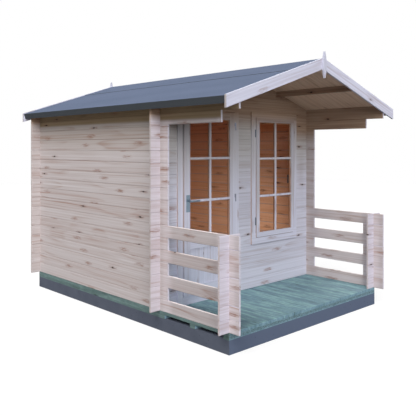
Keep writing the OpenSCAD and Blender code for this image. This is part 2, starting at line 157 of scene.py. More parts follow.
class Grain(Enum):
    """Which way the fibres run: the axes along, across and through a piece."""

    SIDE_LOG = "yzx"
    FRONT_LOG = "xzy"
    UPRIGHT = "zxy"
    LAID = "yxz"
    ROOF_BOARD = "xyz"
    BARGE = "xzy sloped"
    POST = "crossed"
    FRAME = "framed"


SLOPED = (Grain.ROOF_BOARD, Grain.BARGE)


@dataclass(frozen=True)
class Tone:
    """Three colours of one timber, from its late wood to its palest fibres."""

    streak: str
    body: str
    pale: str

    def stops(self) -> list[tuple[float, str]]:
        """Returns the tone as ramp stops."""
        return [(0.14, self.streak), (0.5, self.body), (0.86, self.pale)]


# Open to rain and sun, bleached towards grey; the lilac of the front logs and the pink of the side logs are
# painted light, bluish from the front and warmer from the side
SIDE_TONE = Tone("#a28a81", "#bab0af", "#c9c3c4")
FRONT_TONE = Tone("#b09c9b", "#c3bac1", "#d2ccd5")
# Short log ends, less bleached, and the tips of the rails
END_TONE = Tone("#ad938a", "#c0b6b8", "#d0c8cb")
POST_TONE = Tone("#b0a1a5", "#c5c0cc", "#d5d0dc")
POST_TIP_TONE = Tone("#a48b82", "#b6acae", "#c6bec1")
# Rails of the porch, greyer than the wall on the left, and paler on the inner faces of the right ones as
# painted light
RAIL_TONE = Tone("#998178", "#b2a8a8", "#c1babb")
RIGHT_RAIL_LIGHT_TONE = Tone("#b0988e", "#c9bebe", "#d8d0d3")
# Painted highlight along the upper edges of the rails, and the cut ends of side logs paler and lilac as
# painted bluish front light
RAIL_HIGHLIGHT_TONE = Tone("#d2c6c4", "#e2d9d8", "#ece5e4")
END_GRAIN_LIGHT_TONE = Tone("#b8b0ba", "#cdc9d6", "#dcd8e4")
# Front wall behind the porch, and painted shade on it beside the right wall
PORCH_TONE = Tone("#a9a0a6", "#bfbfcd", "#cfd0de")
RIGHT_PORCH_SHADE_TONE = Tone("#9a8e93", "#afaab5", "#bdb9c4")
# Painted light low beside the door, on the wall and on the planed pieces
LEFT_PORCH_LIGHT_TONE = Tone("#b4b0be", "#cbcfe4", "#d9dded")
LOW_PLANED_LIGHT_TONE = Tone("#bcb8c5", "#d0d4e8", "#dee1f0")
# Painted shade higher up, under the eaves and the porch roof
HIGH_SIDE_SHADE_TONE = Tone("#947e72", "#aba19c", "#b9b2af")
HIGH_PORCH_SHADE_TONE = Tone("#a19691", "#b6b3b3", "#c5c3c2")
HIGH_PLANED_SHADE_TONE = Tone("#aba2a3", "#bdbbc1", "#cac8cc")
# Under the roof, where the wood keeps some of its brown; the sheltered and eave tones are also darker as
# painted shade
SHELTERED_SHADE_TONE = Tone("#846957", "#9e8572", "#b29a86")
EAVE_SHADE_TONE = Tone("#75624a", "#8c795f", "#a08c72")
CEILING_TONE = Tone("#b1947d", "#d1b49d", "#dfc6b1")
# Indoors, the warm colour of new wood
ROOM_TONE = Tone("#c08f6c", "#dbaf8e", "#e4bfa2")
# Planed pieces: their faces, the sash in the shade of its casing, and sides turned left and right, warmer
# as painted warm side light
PLANED_TONE = Tone("#b3acb6", "#c6c7d8", "#d4d5e4")
SASH_TONE = Tone("#a09598", "#b1afb8", "#bebcc4")
EDGE_WARM_LIGHT_TONE = Tone("#aa9490", "#c3b0ae", "#d2c4c3")
BARGE_TONE = Tone("#aea4ad", "#cecfe1", "#dedfee")
BARGE_END_TONE = Tone("#9a908e", "#b0a8a8", "#c0b9b9")
# Pressure-treated timber, green turned blue-grey
DECK_TONE = Tone("#52697a", "#74939d", "#9cc1bd")
JOIST_TONE = Tone("#567580", "#72909f", "#89a7b4")
BEARER_TONE = Tone("#465b59", "#5b706f", "#6f8785")
# Painted shade on the reveals and beds behind the panes, and painted shadow lines under the sills
REVEAL_SHADE_TONE = Tone("#7f5944", "#946c54", "#a67f66")
BED_SHADE_TONE = Tone("#92694f", "#a67e65", "#b38d74")
SHADOW_LINE_TONE = Tone("#6f6468", "#837a80", "#948c93")


@dataclass(frozen=True)
class Zone:
    """A box of the part in which a timber takes another tone."""

    tone: Tone
    x: Range = (None, None)
    y: Range = (None, None)
    z: Range = (None, None)
    # How far the tone fades in at the box's faces
    fade_x: float = 0.0004
    fade_y: float = 0.0004
    fade_z: float = 0.0004
    # Only on the faces that are turned away from the piece's main face
    turned: bool = False

    def mask(self, tree: Tree, spot: Sequence[Socket]) -> Socket:
        """Finds how much of the zone's tone a point takes.

        Args:
            tree: The material's node tree.
            spot: The point's X, Y and Z.

        Returns:
            1 inside the box and 0 outside.
        """
        share = None
        sides = ((self.x, self.fade_x), (self.y, self.fade_y), (self.z, self.fade_z))
        for place, (faces, fade) in zip(spot, sides):
            for face, turn in zip(faces, (1, -1)):
                if face is None:
                    continue
                edge = {0: place, 1: face, 2: face + turn * fade}
                inside = add(tree, "MapRange", edge, interpolation_type="SMOOTHSTEP")
                if share is None:
                    share = inside
                else:
                    share = add(tree, "Math", {0: share, 1: inside}, operation="MULTIPLY")
        return share


def pane_zones(x: Range, z: Range) -> tuple[Zone, ...]:
    """Gives the wood behind a pane the tones of a room, with painted shade on its reveals and bed.

    Args:
        x: Left and right limit of the wood that shows through the pane.
        z: Its lower and upper limit.

    Returns:
        Zones of the inner faces, and of the painted shade on the reveals and the bed of the glass.
    """
    return (
        Zone(ROOM_TONE, x, (BED_IN, LEAF_IN), z),
        Zone(REVEAL_SHADE_TONE, x, (PANE_MID, LEAF_IN), z, turned=True),
        Zone(BED_SHADE_TONE, x, (PANE_MID, BED_IN), z),
    )


# Side logs: painted shade higher on the walls and on the top logs, the rails with painted light on the
# right ones and a painted highlight on their upper edges, and the log ends
HIGH_SIDE_SHADE = Zone(HIGH_SIDE_SHADE_TONE, y=(-0.72, None), z=(1.55, None), fade_y=0.01, fade_z=0.33)
EAVE_LOG_SHADE = Zone(EAVE_SHADE_TONE, x=(None, 0.0), z=(1.925, None), fade_z=0.035)
TOP_RIGHT_SHADE = Zone(SHELTERED_SHADE_TONE, x=(0.0, None), z=(1.7, None), fade_z=0.22)
LEFT_RAILS = Zone(RAIL_TONE, x=(None, 0.0), y=(None, FRONT_OUT))
# Painted light on the inner faces of the right rails
RIGHT_RAIL_LIGHT = Zone(RIGHT_RAIL_LIGHT_TONE, x=(0.0, RAIL_MID), y=(None, FRONT_OUT), z=(None, 1.0))
# Painted highlight on the upper edges of the rails
RAIL_HIGHLIGHTS = tuple(
    Zone(RAIL_HIGHLIGHT_TONE, y=(-1.5, -0.84), z=(top - 0.0045, top + 0.008))
    for top in (DECK_TOP + LOG_H * count for count in (1, 3, 5, 7))
)
CORNER_ENDS = Zone(END_TONE, y=(-0.93, FRONT_OUT), fade_y=0.09)
POST_ENDS = Zone(END_TONE, y=(None, -1.45), fade_y=0.06)
POST_TIPS = Zone(POST_TIP_TONE, y=(None, -1.655), z=(None, 1.0), fade_y=0.06)
# Front and back logs: the wall behind the porch with painted light low on the left and painted shade high
# up and on the right, painted shade on the ends under the eaves, and painted shade high on the back wall
PORCH_X = (-SIDE_IN, SIDE_IN)
PORCH_Y = (None, FRONT_MID)
PORCH_WALL = Zone(PORCH_TONE, PORCH_X, PORCH_Y)
HIGH_PORCH_SHADE = Zone(HIGH_PORCH_SHADE_TONE, PORCH_X, PORCH_Y, (1.2, None), fade_z=0.65)
LEFT_PORCH_LIGHT = Zone(LEFT_PORCH_LIGHT_TONE, (-SIDE_IN, -0.87), PORCH_Y, (None, 0.95), fade_z=0.4)
RIGHT_PORCH_SHADE = Zone(RIGHT_PORCH_SHADE_TONE, (0.89, SIDE_IN), PORCH_Y, (1.05, None), fade_x=0.12, fade_z=0.5)
LEFT_ENDS_SHADE_TOP = Zone(SHELTERED_SHADE_TONE, x=(None, -SIDE_IN), z=(1.93, None), fade_z=0.09)
RIGHT_ENDS_SHADE_TOP = Zone(SHELTERED_SHADE_TONE, x=(SIDE_IN, None), z=(1.93, None), fade_z=0.09)
HIGH_BACK_SHADE = Zone(HIGH_SIDE_SHADE_TONE, z=(1.85, None), fade_z=0.5)
# Wall and frames under the porch roof, where the brown, partly kept colour and partly painted shade, begins
# lower beside the window
CASING_X = (0.119, 0.891)
SASH_X = (0.181, 0.829)
ROOF_SHADE = Zone(SHELTERED_SHADE_TONE, PORCH_X, z=(1.83, None), fade_z=0.26)
ROOF_SHADE_RIGHT = Zone(SHELTERED_SHADE_TONE, (CASING_X[1], SIDE_IN), PORCH_Y, (1.7, None), fade_z=0.23)
# Planed door and window pieces by height, with painted light low on the left and painted shade higher up,
# and painted shadow lines under the casing and the sash
LOW_PLANED_LIGHT = Zone(LOW_PLANED_LIGHT_TONE, x=(None, -0.35), z=(None, 0.85), fade_x=0.4, fade_z=0.5)
HIGH_PLANED_SHADE = Zone(HIGH_PLANED_SHADE_TONE, z=(1.1, None), fade_z=0.7)
SASH_FRONT = Zone(SASH_TONE, SASH_X, (None, -0.759), (0.78, None), fade_z=0.45)
SILL_SHADOW_LINE = Zone(SHADOW_LINE_TONE, CASING_X, PORCH_Y, (0.643, 0.653), fade_x=0.004, fade_z=0.003)
SASH_SHADOW_LINE = Zone(SHADOW_LINE_TONE, SASH_X, (None, -0.74), (0.716, 0.7252), fade_x=0.004, fade_z=0.003)
# The room with 1 mm of its walls, and what shows of it through the panes
ROOM = Zone(ROOM_TONE, x=(-1.107, 1.107), y=(-0.7095, 1.6045))
ROOM_SIDE = Zone(ROOM_TONE, y=(LEAF_IN, None))
PANEL_INSIDE = Zone(ROOM_TONE, x=(-0.781, -0.227), y=(-0.7345, None), z=(0.355, 0.715))
DOOR_ZONES = (ROOM_SIDE, *pane_zones((-0.79, -0.218), (0.77, 1.99)), PANEL_INSIDE)
WINDOW_PANE = pane_zones((0.22, 0.79), (0.765, 1.98))
# Outer side of the deck, under the rails
DECK_SIDE = Zone(BEARER_TONE, x=(None, -1.112), fade_x=0.004)


@dataclass(frozen=True)
class Finish:
    """A finish that becomes one material."""

    name: str

    def surface(self, tree: Tree) -> Socket:
        """Builds the shader and returns its output."""
        raise NotImplementedError

    def material(self) -> bpy.types.Material:
        """Makes the material on first use.

        Returns:
            The finish's material.
        """
        made = bpy.data.materials.get(self.name)
        if made is None:
            made = bpy.data.materials.new(self.name)
            made.use_nodes = True
            made.node_tree.nodes.clear()
            shader = self.surface(made.node_tree)
            add(made.node_tree, "OutputMaterial", {"Surface": shader}, out=None)
        return made


# Patterns of the wood to a metre along, across and through the grain.
# Fibres are a fraction of a millimetre, drawn 5 mm wide to show
FIBRES = (3, 190, 190)
# Blotches of treated wood are about 90 by 30 mm
BLOTCHES = (11, 34, 34)
# Rings wave over 1.4 m, and come out strong for about 1.7 m
RING_WAVES = (0.7, 5, 5)
STRONG_RINGS = (0.6, 26, 26)
# Rims of knots are uneven every 40 by 11 mm, and clouds are torn every 70 by 8 mm
KNOT_RIMS = (25, 90, 90)
CLOUD_TEARS = (14, 120, 120)
# Half length and half height of a knot's core, its tails and the cloud round them, in metres,
# and how strong each is where the knot is grown over and where it is bare
KNOT_PARTS = ((0.022, 0.008, 0.0, 1.0), (0.06, 0.0036, 0.1, 0.7), (0.085, 0.02, 0.8, 0.5))
# How far beside a piece its pith lies, how much that differs, and how far the rings wave, in metres
PITH_NEAR = 0.2
PITH_FAR = 0.5
PITH_VARIES = 0.05
RING_WAVE = 0.06
# What fibres, rings and each log's own shade add to the streaks, and what is taken off again
FIBRE_PART = 0.22
RING_PART = -0.26
SHADE_PART = 0.14
LEVEL_DOWN = 0.135
# Half the width of a seam in metres, and the share of a log over which it fades
SEAM_HALF = 0.004
SEAM_FADE = 0.03
# Keep the chances of roof sides, pieces and knots apart, and move the grain of each piece
SIDE_SEED = 13.7
PIECE_SEED = 91.0
KNOT_SEED = 29.0
PIECE_SHIFT = (7.0, 3.0, 3.0)


@dataclass(frozen=True)
class Timber(Finish):
    """Spruce or pine, planed: soft streaks and a few brown lines along the
    fibres, dark knots, red-brown clouds, and arcs of rings on the cut ends."""

    grain: Grain
    tone: Tone
    zones: tuple[Zone, ...] = ()
    # Tone of the faces that are turned away from the piece's main face
    turned: Tone | None = None
    # Height of a log or width of a board, and where the first one begins
    course: float = LOG_H
    start: float = DECK_TOP
    # How brown the line is where two logs meet
    seam: float = 0.0
    # Middle and height of a frame's pane, past which the grain lies level
    middle_z: float = 0.0
    pane_h: float = 0.0
    # Metres of log to a knot or cloud, and how strong they are
    knot_every: float = 1.05
    knotty: float = 1.0
    knot_colour: str = "#2a1c18"
    cloud_colour: str = "#8a6555"
    rough: float = 0.68
    # Width and length of the streaks
    streak_mm: float = 15.0
    streak_m: float = 2.0
    # How strong the blotches are
    blotch: float = 0.0
    # Rings are 2 to 4 mm apart on the real timber, drawn wider to show here
    ring_mm: float = 13.0

    def axes(self, tree: Tree) -> tuple[Socket, ...]:
        """Finds the place on the piece, measured with its grain.

        Args:
            tree: The material's node tree.

        Returns:
            Along, across and through the grain, then plain X, Y and Z.
        """
        spot = add(tree, "TexCoord", out="Object")
        split = add(tree, "SeparateXYZ", {0: spot}).node.outputs
        x, y, z = split[0], split[1], split[2]
        if self.grain is Grain.POST:
            off = add(tree, "Math", {0: y, 1: STUB_Y}, operation="SUBTRACT")
            off = add(tree, "Math", {0: off}, operation="ABSOLUTE")
            stub = add(tree, "Math", {0: off, 1: STUB_HALF}, operation="LESS_THAN")
            along = add(tree, "Mix", {0: stub, 2: y, 3: x})
            through = add(tree, "Mix", {0: stub, 2: x, 3: y})
            return along, z, through, x, y, z
        if self.grain is Grain.FRAME:
            off = add(tree, "Math", {0: z, 1: self.middle_z}, operation="SUBTRACT")
            off = add(tree, "Math", {0: off}, operation="ABSOLUTE")
            level = add(tree, "Math", {0: off, 1: self.pane_h / 2}, operation="GREATER_THAN")
            along = add(tree, "Mix", {0: level, 2: z, 3: x})
            across = add(tree, "Mix", {0: level, 2: x, 3: z})
            return along, across, y, x, y, z
        if self.grain in SLOPED:
            side = add(tree, "Math", {0: x}, operation="ABSOLUTE")
            side = add(tree, "Math", {0: side, 1: -1.0}, operation="MULTIPLY")
            slope = add(tree, "CombineXYZ", {0: side, 1: y, 2: z})
            turn = {"Vector": slope, "Angle": PITCH}
            slope = add(tree, "VectorRotate", turn, rotation_type="Y_AXIS")
            split = add(tree, "SeparateXYZ", {0: slope}).node.outputs
        chosen = ["xyz".index(axis) for axis in self.grain.value[:3]]
        return (*(split[i] for i in chosen), x, y, z)

    def chances(self, tree: Tree, row: Socket, x: Socket) -> Socket:
        """Draws three numbers for each log or board.

        Args:
            tree: The material's node tree.
            row: Place across the grain in logs or boards.
            x: Place along X, to tell the two sides of the roof apart.

        Returns:
            A colour with three numbers from 0 to 1.
        """
        seed = add(tree, "Math", {0: row}, operation="FLOOR")
        if self.grain in SLOPED:
            side = add(tree, "Math", {0: x}, operation="SIGN")
            seed = add(tree, "Math", {0: side, 1: SIDE_SEED, 2: seed}, operation="MULTIPLY_ADD")
        drawn = add(tree, "ObjectInfo", out="Random")
        seed = add(tree, "Math", {0: drawn, 1: PIECE_SEED, 2: seed}, operation="MULTIPLY_ADD")
        return add(tree, "TexWhiteNoise", {"W": seed}, "Color", noise_dimensions="1D")

    def rings(self, tree: Tree, row: Socket, through: Socket, chance: Socket, moved: Socket) -> Socket:
        """Draws the growth rings round a pith beside each piece.

        Args:
            tree: The material's node tree.
            row: Place across the grain in logs or boards.
            through: Place through the thickness in metres.
            chance: Three numbers of the piece.
            moved: Place with the grain, shifted for each piece.

        Returns:
            Late wood from 0 to 1.
        """
        split = add(tree, "SeparateColor", {0: chance}).node.outputs
        part = add(tree, "Math", {0: row}, operation="FRACT")
        part = add(tree, "Math", {0: part, 1: split[0]}, operation="SUBTRACT")
        part = add(tree, "Math", {0: part, 1: self.course}, operation="MULTIPLY")
        deep = add(tree, "Math", {0: through, 1: PITH_NEAR, 2: PITH_FAR}, operation="WRAP")
        deep = add(tree, "Math", {0: split[1], 1: PITH_VARIES, 2: deep}, operation="MULTIPLY_ADD")
        pith = add(tree, "CombineXYZ", {1: part, 2: deep})
        far = add(tree, "VectorMath", {0: pith}, "Value", operation="LENGTH")
        wave = add(tree, "Mapping", {"Vector": moved, "Scale": RING_WAVES})
        wave = add(tree, "TexNoise", {"Vector": wave, "Scale": 1.0, "Detail": 1.0})
        far = add(tree, "Math", {0: wave, 1: RING_WAVE, 2: far}, operation="MULTIPLY_ADD")
        turn = add(tree, "Math", {0: far, 1: 1000 / self.ring_mm}, operation="MULTIPLY")
        turn = add(tree, "Math", {0: turn}, operation="FRACT")
        year = [(0.0, "#ffffff"), (0.1, "#000000"), (0.6, "#1c1c1c"), (1.0, "#ffffff")]
        late = add(tree, "ValToRGB", {0: turn}, ramp=year)
        # Some rings come out strong for a length and fade again
        shown = add(tree, "Mapping", {"Vector": moved, "Scale": STRONG_RINGS})
        shown = add(tree, "TexNoise", {"Vector": shown, "Scale": 1.0, "Detail": 1.0})
        shown = add(tree, "MapRange", {0: shown, 1: 0.42, 2: 0.66, 3: 0.12, 4: 1.0})
        return add(tree, "Math", {0: late, 1: shown}, operation="MULTIPLY")

    def knots(
        self, tree: Tree, along: Socket, row: Socket, chance: Socket, moved: Socket
    ) -> tuple[Socket, Socket]:
        """Sets a knot or a cloud of grown-over wood here and there.

        Args:
            tree: The material's node tree.
            along: Place along the grain in metres.
            row: Place across the grain in logs or boards.
            chance: Three numbers of the piece.
            moved: Place with the grain, shifted for each piece.

        Returns:
            How dark the knot is and how brown its cloud is, each from 0 to 1.
        """
        shift = add(tree, "SeparateColor", {0: chance}, "Blue")
        shift = add(tree, "Math", {0: shift, 1: KNOT_SEED}, operation="MULTIPLY")
        length = {0: along, 1: 1 / self.knot_every, 2: shift}
        length = add(tree, "Math", length, operation="MULTIPLY_ADD")
        cell = add(tree, "CombineXYZ", {0: length, 1: row})
        cells = {"Vector": cell, "Scale": 1.0, "Randomness": 0.66}
        found = add(tree, "TexVoronoi", cells, voronoi_dimensions="2D").node.outputs
        away = add(tree, "VectorMath", {0: cell, 1: found["Position"]}, operation="SUBTRACT")
        rim = add(tree, "Mapping", {"Vector": moved, "Scale": KNOT_RIMS})
        rim = add(tree, "TexNoise", {"Vector": rim, "Scale": 1.0, "Detail": 2.0})
        kind = add(tree, "SeparateColor", {0: found["Color"]}).node.outputs
        knot = add(tree, "MapRange", {0: kind[0], 1: 0.6, 2: 0.66})
        shares = []
        for half, tall, grown, bare in KNOT_PARTS:
            size = (self.knot_every / half, self.course / tall, 0.0)
            gap = add(tree, "VectorMath", {0: away, 1: size}, operation="MULTIPLY")
            gap = add(tree, "VectorMath", {0: gap}, "Value", operation="LENGTH")
            gap = add(tree, "Math", {0: rim, 1: 1.2, 2: gap}, operation="MULTIPLY_ADD")
            share = add(tree, "MapRange", {0: gap, 1: 1.9, 2: 1.0}, interpolation_type="SMOOTHSTEP")
            much = add(tree, "MapRange", {0: knot, 3: grown * self.knotty, 4: bare * self.knotty})
            shares.append(add(tree, "Math", {0: share, 1: much}, operation="MULTIPLY"))
        dark = add(tree, "Math", {0: shares[0], 1: shares[1]}, operation="MAXIMUM")
        # The cloud is torn into streaks along the fibres
        torn = add(tree, "Mapping", {"Vector": moved, "Scale": CLOUD_TEARS})
        torn = add(tree, "TexNoise", {"Vector": torn, "Scale": 1.0, "Detail": 2.0, "Distortion": 0.3})
        torn = add(tree, "MapRange", {0: torn, 1: 0.38, 2: 0.62, 3: 0.15, 4: 1.0})
        return dark, add(tree, "Math", {0: shares[2], 1: torn}, operation="MULTIPLY")

    def colour(self, tree: Tree, level: Socket, row: Socket, spot: Sequence[Socket]) -> Socket:
        """Mixes the tones of the faces, the zones and the seams.

        Args:
            tree: The material's node tree.
            level: Streaks of the wood from 0 to 1.
            row: Place across the grain in logs or boards.
            spot: Plain X, Y and Z.

        Returns:
            The wood's colour without its knots.
        """
        colour = add(tree, "ValToRGB", {0: level}, ramp=self.tone.stops())
        if self.seam:
            part = add(tree, "Math", {0: row}, operation="FRACT")
            part = add(tree, "Math", {0: part, 1: 0.5}, operation="SUBTRACT")
            part = add(tree, "Math", {0: part}, operation="ABSOLUTE")
            near = 0.5 - SEAM_HALF / self.course
            fade = add(tree, "MapRange", {0: part, 1: near - SEAM_FADE, 2: near, 4: self.seam})
            brown = linear(self.cloud_colour)
            colour = add(tree, "Mix", {0: fade, 6: colour, 7: brown}, 2, data_type="RGBA")
        facing = add(tree, "TexCoord", out="Normal")
        away = 1 if self.grain in (Grain.SIDE_LOG, Grain.LAID) else 0
        facing = add(tree, "SeparateXYZ", {0: facing}, away)
        facing = add(tree, "Math", {0: facing}, operation="ABSOLUTE")
        facing = add(tree, "MapRange", {0: facing, 1: 0.75, 2: 0.85})
        shares = []
        for zone in self.zones:
            share = zone.mask(tree, spot)
            if zone.turned:
                share = add(tree, "Math", {0: share, 1: facing}, operation="MULTIPLY")
            shares.append((zone.tone, share))
        if self.turned:
            # Cut ends of side logs keep their tone, painted bluish front light, in every zone
            place = len(shares) if self.grain is Grain.SIDE_LOG else 0
            shares.insert(place, (self.turned, facing))
        for tone, share in shares:
            other = add(tree, "ValToRGB", {0: level}, ramp=tone.stops())
            colour = add(tree, "Mix", {0: share, 6: colour, 7: other}, 2, data_type="RGBA")
        return colour

    def surface(self, tree: Tree) -> Socket:
        """Builds the timber's shader.

        Args:
            tree: The material's node tree.

        Returns:
            The shader's output.
        """
        along, across, through, x, y, z = self.axes(tree)
        courses = {0: across, 1: 1 / self.course, 2: -self.start / self.course}
        row = add(tree, "Math", courses, operation="MULTIPLY_ADD")
        chance = self.chances(tree, row, x)
        spot = add(tree, "CombineXYZ", {0: along, 1: across, 2: through})
        shifted = {0: chance, 1: PIECE_SHIFT, 2: spot}
        moved = add(tree, "VectorMath", shifted, operation="MULTIPLY_ADD")
        fine = 1000 / self.streak_mm
        streak = add(tree, "Mapping", {"Vector": moved, "Scale": (1 / self.streak_m, fine, fine)})
        shape = {"Scale": 1.0, "Detail": 3.0, "Roughness": 0.6, "Distortion": 0.08}
        streak = add(tree, "TexNoise", {"Vector": streak, **shape})
        fibre = add(tree, "Mapping", {"Vector": moved, "Scale": FIBRES})
        fibre = add(tree, "TexNoise", {"Vector": fibre, "Scale": 1.0, "Detail": 2.0})
        late = self.rings(tree, row, through, chance, moved)
        level = add(tree, "Math", {0: fibre, 1: FIBRE_PART, 2: streak}, operation="MULTIPLY_ADD")
        level = add(tree, "Math", {0: late, 1: RING_PART, 2: level}, operation="MULTIPLY_ADD")
        if self.blotch:
            patch = add(tree, "Mapping", {"Vector": moved, "Scale": BLOTCHES})
            patch = add(tree, "TexNoise", {"Vector": patch, "Scale": 1.0, "Detail": 3.0})
            patch = add(tree, "Math", {0: patch, 1: 0.5}, operation="SUBTRACT")
            level = add(tree, "Math", {0: patch, 1: self.blotch, 2: level}, operation="MULTIPLY_ADD")
        # Each log is a little paler or darker than its neighbours
        shade = add(tree, "SeparateColor", {0: chance}, "Green")
        level = add(tree, "Math", {0: shade, 1: SHADE_PART, 2: level}, operation="MULTIPLY_ADD")
        level = add(tree, "Math", {0: level, 1: LEVEL_DOWN}, operation="SUBTRACT")
        colour = self.colour(tree, level, row, (x, y, z))
        dark, cloud = self.knots(tree, along, row, chance, moved)
        for share, stain in ((cloud, self.cloud_colour), (dark, self.knot_colour)):
            colours = {0: share, 6: colour, 7: linear(stain)}
            colour = add(tree, "Mix", colours, 2, data_type="RGBA")
        spread = {0: level, 1: 0.2, 2: 0.8, 3: self.rough - 0.08, 4: self.rough + 0.08}
        rough = add(tree, "MapRange", spread)
        height = add(tree, "Math", {0: late, 1: -0.4, 2: level}, operation="MULTIPLY_ADD")
        bump = add(tree, "Bump", {"Strength": 0.35, "Distance": 0.0012, "Height": height})
        looks = {"Base Color": colour, "Roughness": rough, "Normal": bump}
        return add(tree, "BsdfPrincipled", {**looks, "Specular IOR Level": 0.2})


@dataclass(frozen=True)
class MineralFelt(Finish):
    """Bitumen felt with a slate grit top: dull blue-grey, speckled, darker on
    the folded edge where the grit has come off."""

    grit: str = "#5f6a7f"
    pale_grit: str = "#6d778e"
    bare: str = "#4e5257"
    # Grit is about 1 mm, drawn 5 mm wide to show
    grit_mm: float = 5.0

    def surface(self, tree: Tree) -> Socket:
        """Builds the felt's shader.

        Args:
            tree: The material's node tree.

        Returns:
            The shader's output.
        """
        spot = add(tree, "TexCoord", out="Object")
        speck = add(tree, "TexNoise", {"Vector": spot, "Scale": 1000 / self.grit_mm, "Detail": 3.0})
        cloud = add(tree, "Mapping", {"Vector": spot, "Scale": (1.4, 0.5, 1.4)})
        cloud = add(tree, "TexNoise", {"Vector": cloud, "Scale": 2.0, "Detail": 3.0})
        mix = add(tree, "Math", {0: cloud, 1: 0.55, 2: speck}, operation="MULTIPLY_ADD")
        mix = add(tree, "MapRange", {0: mix, 1: 0.5, 2: 1.05})
        colours = {0: mix, 6: linear(self.grit), 7: linear(self.pale_grit)}
        colour = add(tree, "Mix", colours, 2, data_type="RGBA")
        facing = add(tree, "NewGeometry", out="Normal")
        up = add(tree, "SeparateXYZ", {0: facing}, 2)
        fold = add(tree, "MapRange", {0: up, 1: 0.5, 2: 0.2})
        colour = add(tree, "Mix", {0: fold, 6: colour, 7: linear(self.bare)}, 2, data_type="RGBA")
        rough = add(tree, "MapRange", {0: speck, 1: 0.3, 2: 0.7, 3: 0.82, 4: 0.95})
        bump = add(tree, "Bump", {"Strength": 0.4, "Distance": 0.001, "Height": speck})
        looks = {"Base Color": colour, "Roughness": rough, "Normal": bump}
        return add(tree, "BsdfPrincipled", {**looks, "Specular IOR Level": 0.0})


@dataclass(frozen=True)
class CastConcrete(Finish):
    """Concrete cast in a smooth form and stained dark: even slate grey with clouds and small air holes, and
    bluer on the front as painted bluish light."""

    body: str = "#505562"
    cloud: str = "#5b606d"
    # Painted bluish light on the faces turned to the front
    front: str = "#5c6880"
    hole: str = "#383d47"
    # Sand grains are about 1 mm, drawn 4 mm wide to show
    sand_mm: float = 4.0
    # Air holes are 3 to 6 mm across, one in about 40 mm
    hole_every_mm: float = 40.0

    def surface(self, tree: Tree) -> Socket:
        """Builds the concrete's shader.

        Args:
            tree: The material's node tree.

        Returns:
            The shader's output.
        """
        spot = add(tree, "TexCoord", out="Object")
        cloud = add(tree, "TexNoise", {"Vector": spot, "Scale": 6.0, "Detail": 6.0})
        sand = add(tree, "TexNoise", {"Vector": spot, "Scale": 1000 / self.sand_mm, "Detail": 2.0})
        mix = add(tree, "Math", {0: sand, 1: 0.4, 2: cloud}, operation="MULTIPLY_ADD")
        mix = add(tree, "MapRange", {0: mix, 1: 0.5, 2: 0.95})
        # Faces turned to the front take the painted bluish light
        facing = add(tree, "TexCoord", out="Normal")
        facing = add(tree, "SeparateXYZ", {0: facing}, 1)
        facing = add(tree, "MapRange", {0: facing, 1: -0.5, 2: -0.8, 4: 0.75})
        hole = add(tree, "TexVoronoi", {"Vector": spot, "Scale": 1000 / self.hole_every_mm})
        hole = add(tree, "MapRange", {0: hole, 1: 0.11, 2: 0.07})
        colour = linear(self.body)
        for share, stain in ((mix, self.cloud), (facing, self.front), (hole, self.hole)):
            colours = {0: share, 6: colour, 7: linear(stain)}
            colour = add(tree, "Mix", colours, 2, data_type="RGBA")
        rough = add(tree, "MapRange", {0: mix, 3: 0.75, 4: 0.9})
        height = add(tree, "Math", {0: hole, 1: -1.5, 2: sand}, operation="MULTIPLY_ADD")
        bump = add(tree, "Bump", {"Strength": 0.3, "Distance": 0.002, "Height": height})
        looks = {"Base Color": colour, "Roughness": rough, "Normal": bump}
        return add(tree, "BsdfPrincipled", {**looks, "Specular IOR Level": 0.1})


@dataclass(frozen=True)
class SatinSteel(Finish):
    """Zinc-plated steel, brushed: a cool grey with soft streaked gloss and dull
    spots where hands have been."""

    colour: str = "#8797a5"
    worn: str = "#6f7f8e"
    # Brush lines are about 0.2 mm, drawn 1.5 mm wide to show
    brush_mm: float = 1.5
    rough: float = 0.36

    def surface(self, tree: Tree) -> Socket:
        """Builds the steel's shader.

        Args:
            tree: The material's node tree.

        Returns:
            The shader's output.
        """
        spot = add(tree, "TexCoord", out="Object")
        line = 1000 / self.brush_mm
        brush = add(tree, "Mapping", {"Vector": spot, "Scale": (line, line, 12)})
        brush = add(tree, "TexNoise", {"Vector": brush, "Scale": 1.0, "Detail": 2.0})
        wear = add(tree, "TexNoise", {"Vector": spot, "Scale": 55.0, "Detail": 3.0})
        colours = {0: wear, 6: linear(self.worn), 7: linear(self.colour)}
        colour = add(tree, "Mix", colours, 2, data_type="RGBA")
        mix = add(tree, "Math", {0: wear, 1: 0.5, 2: brush}, operation="MULTIPLY_ADD")
        spread = {0: mix, 1: 0.4, 2: 1.1, 3: self.rough - 0.08, 4: self.rough + 0.12}
        rough = add(tree, "MapRange", spread)
        bump = add(tree, "Bump", {"Strength": 0.12, "Distance": 0.0005, "Height": brush})
        looks = {"Base Color": colour, "Roughness": rough, "Normal": bump}
        return add(tree, "BsdfPrincipled", {**looks, "Metallic": 1.0})


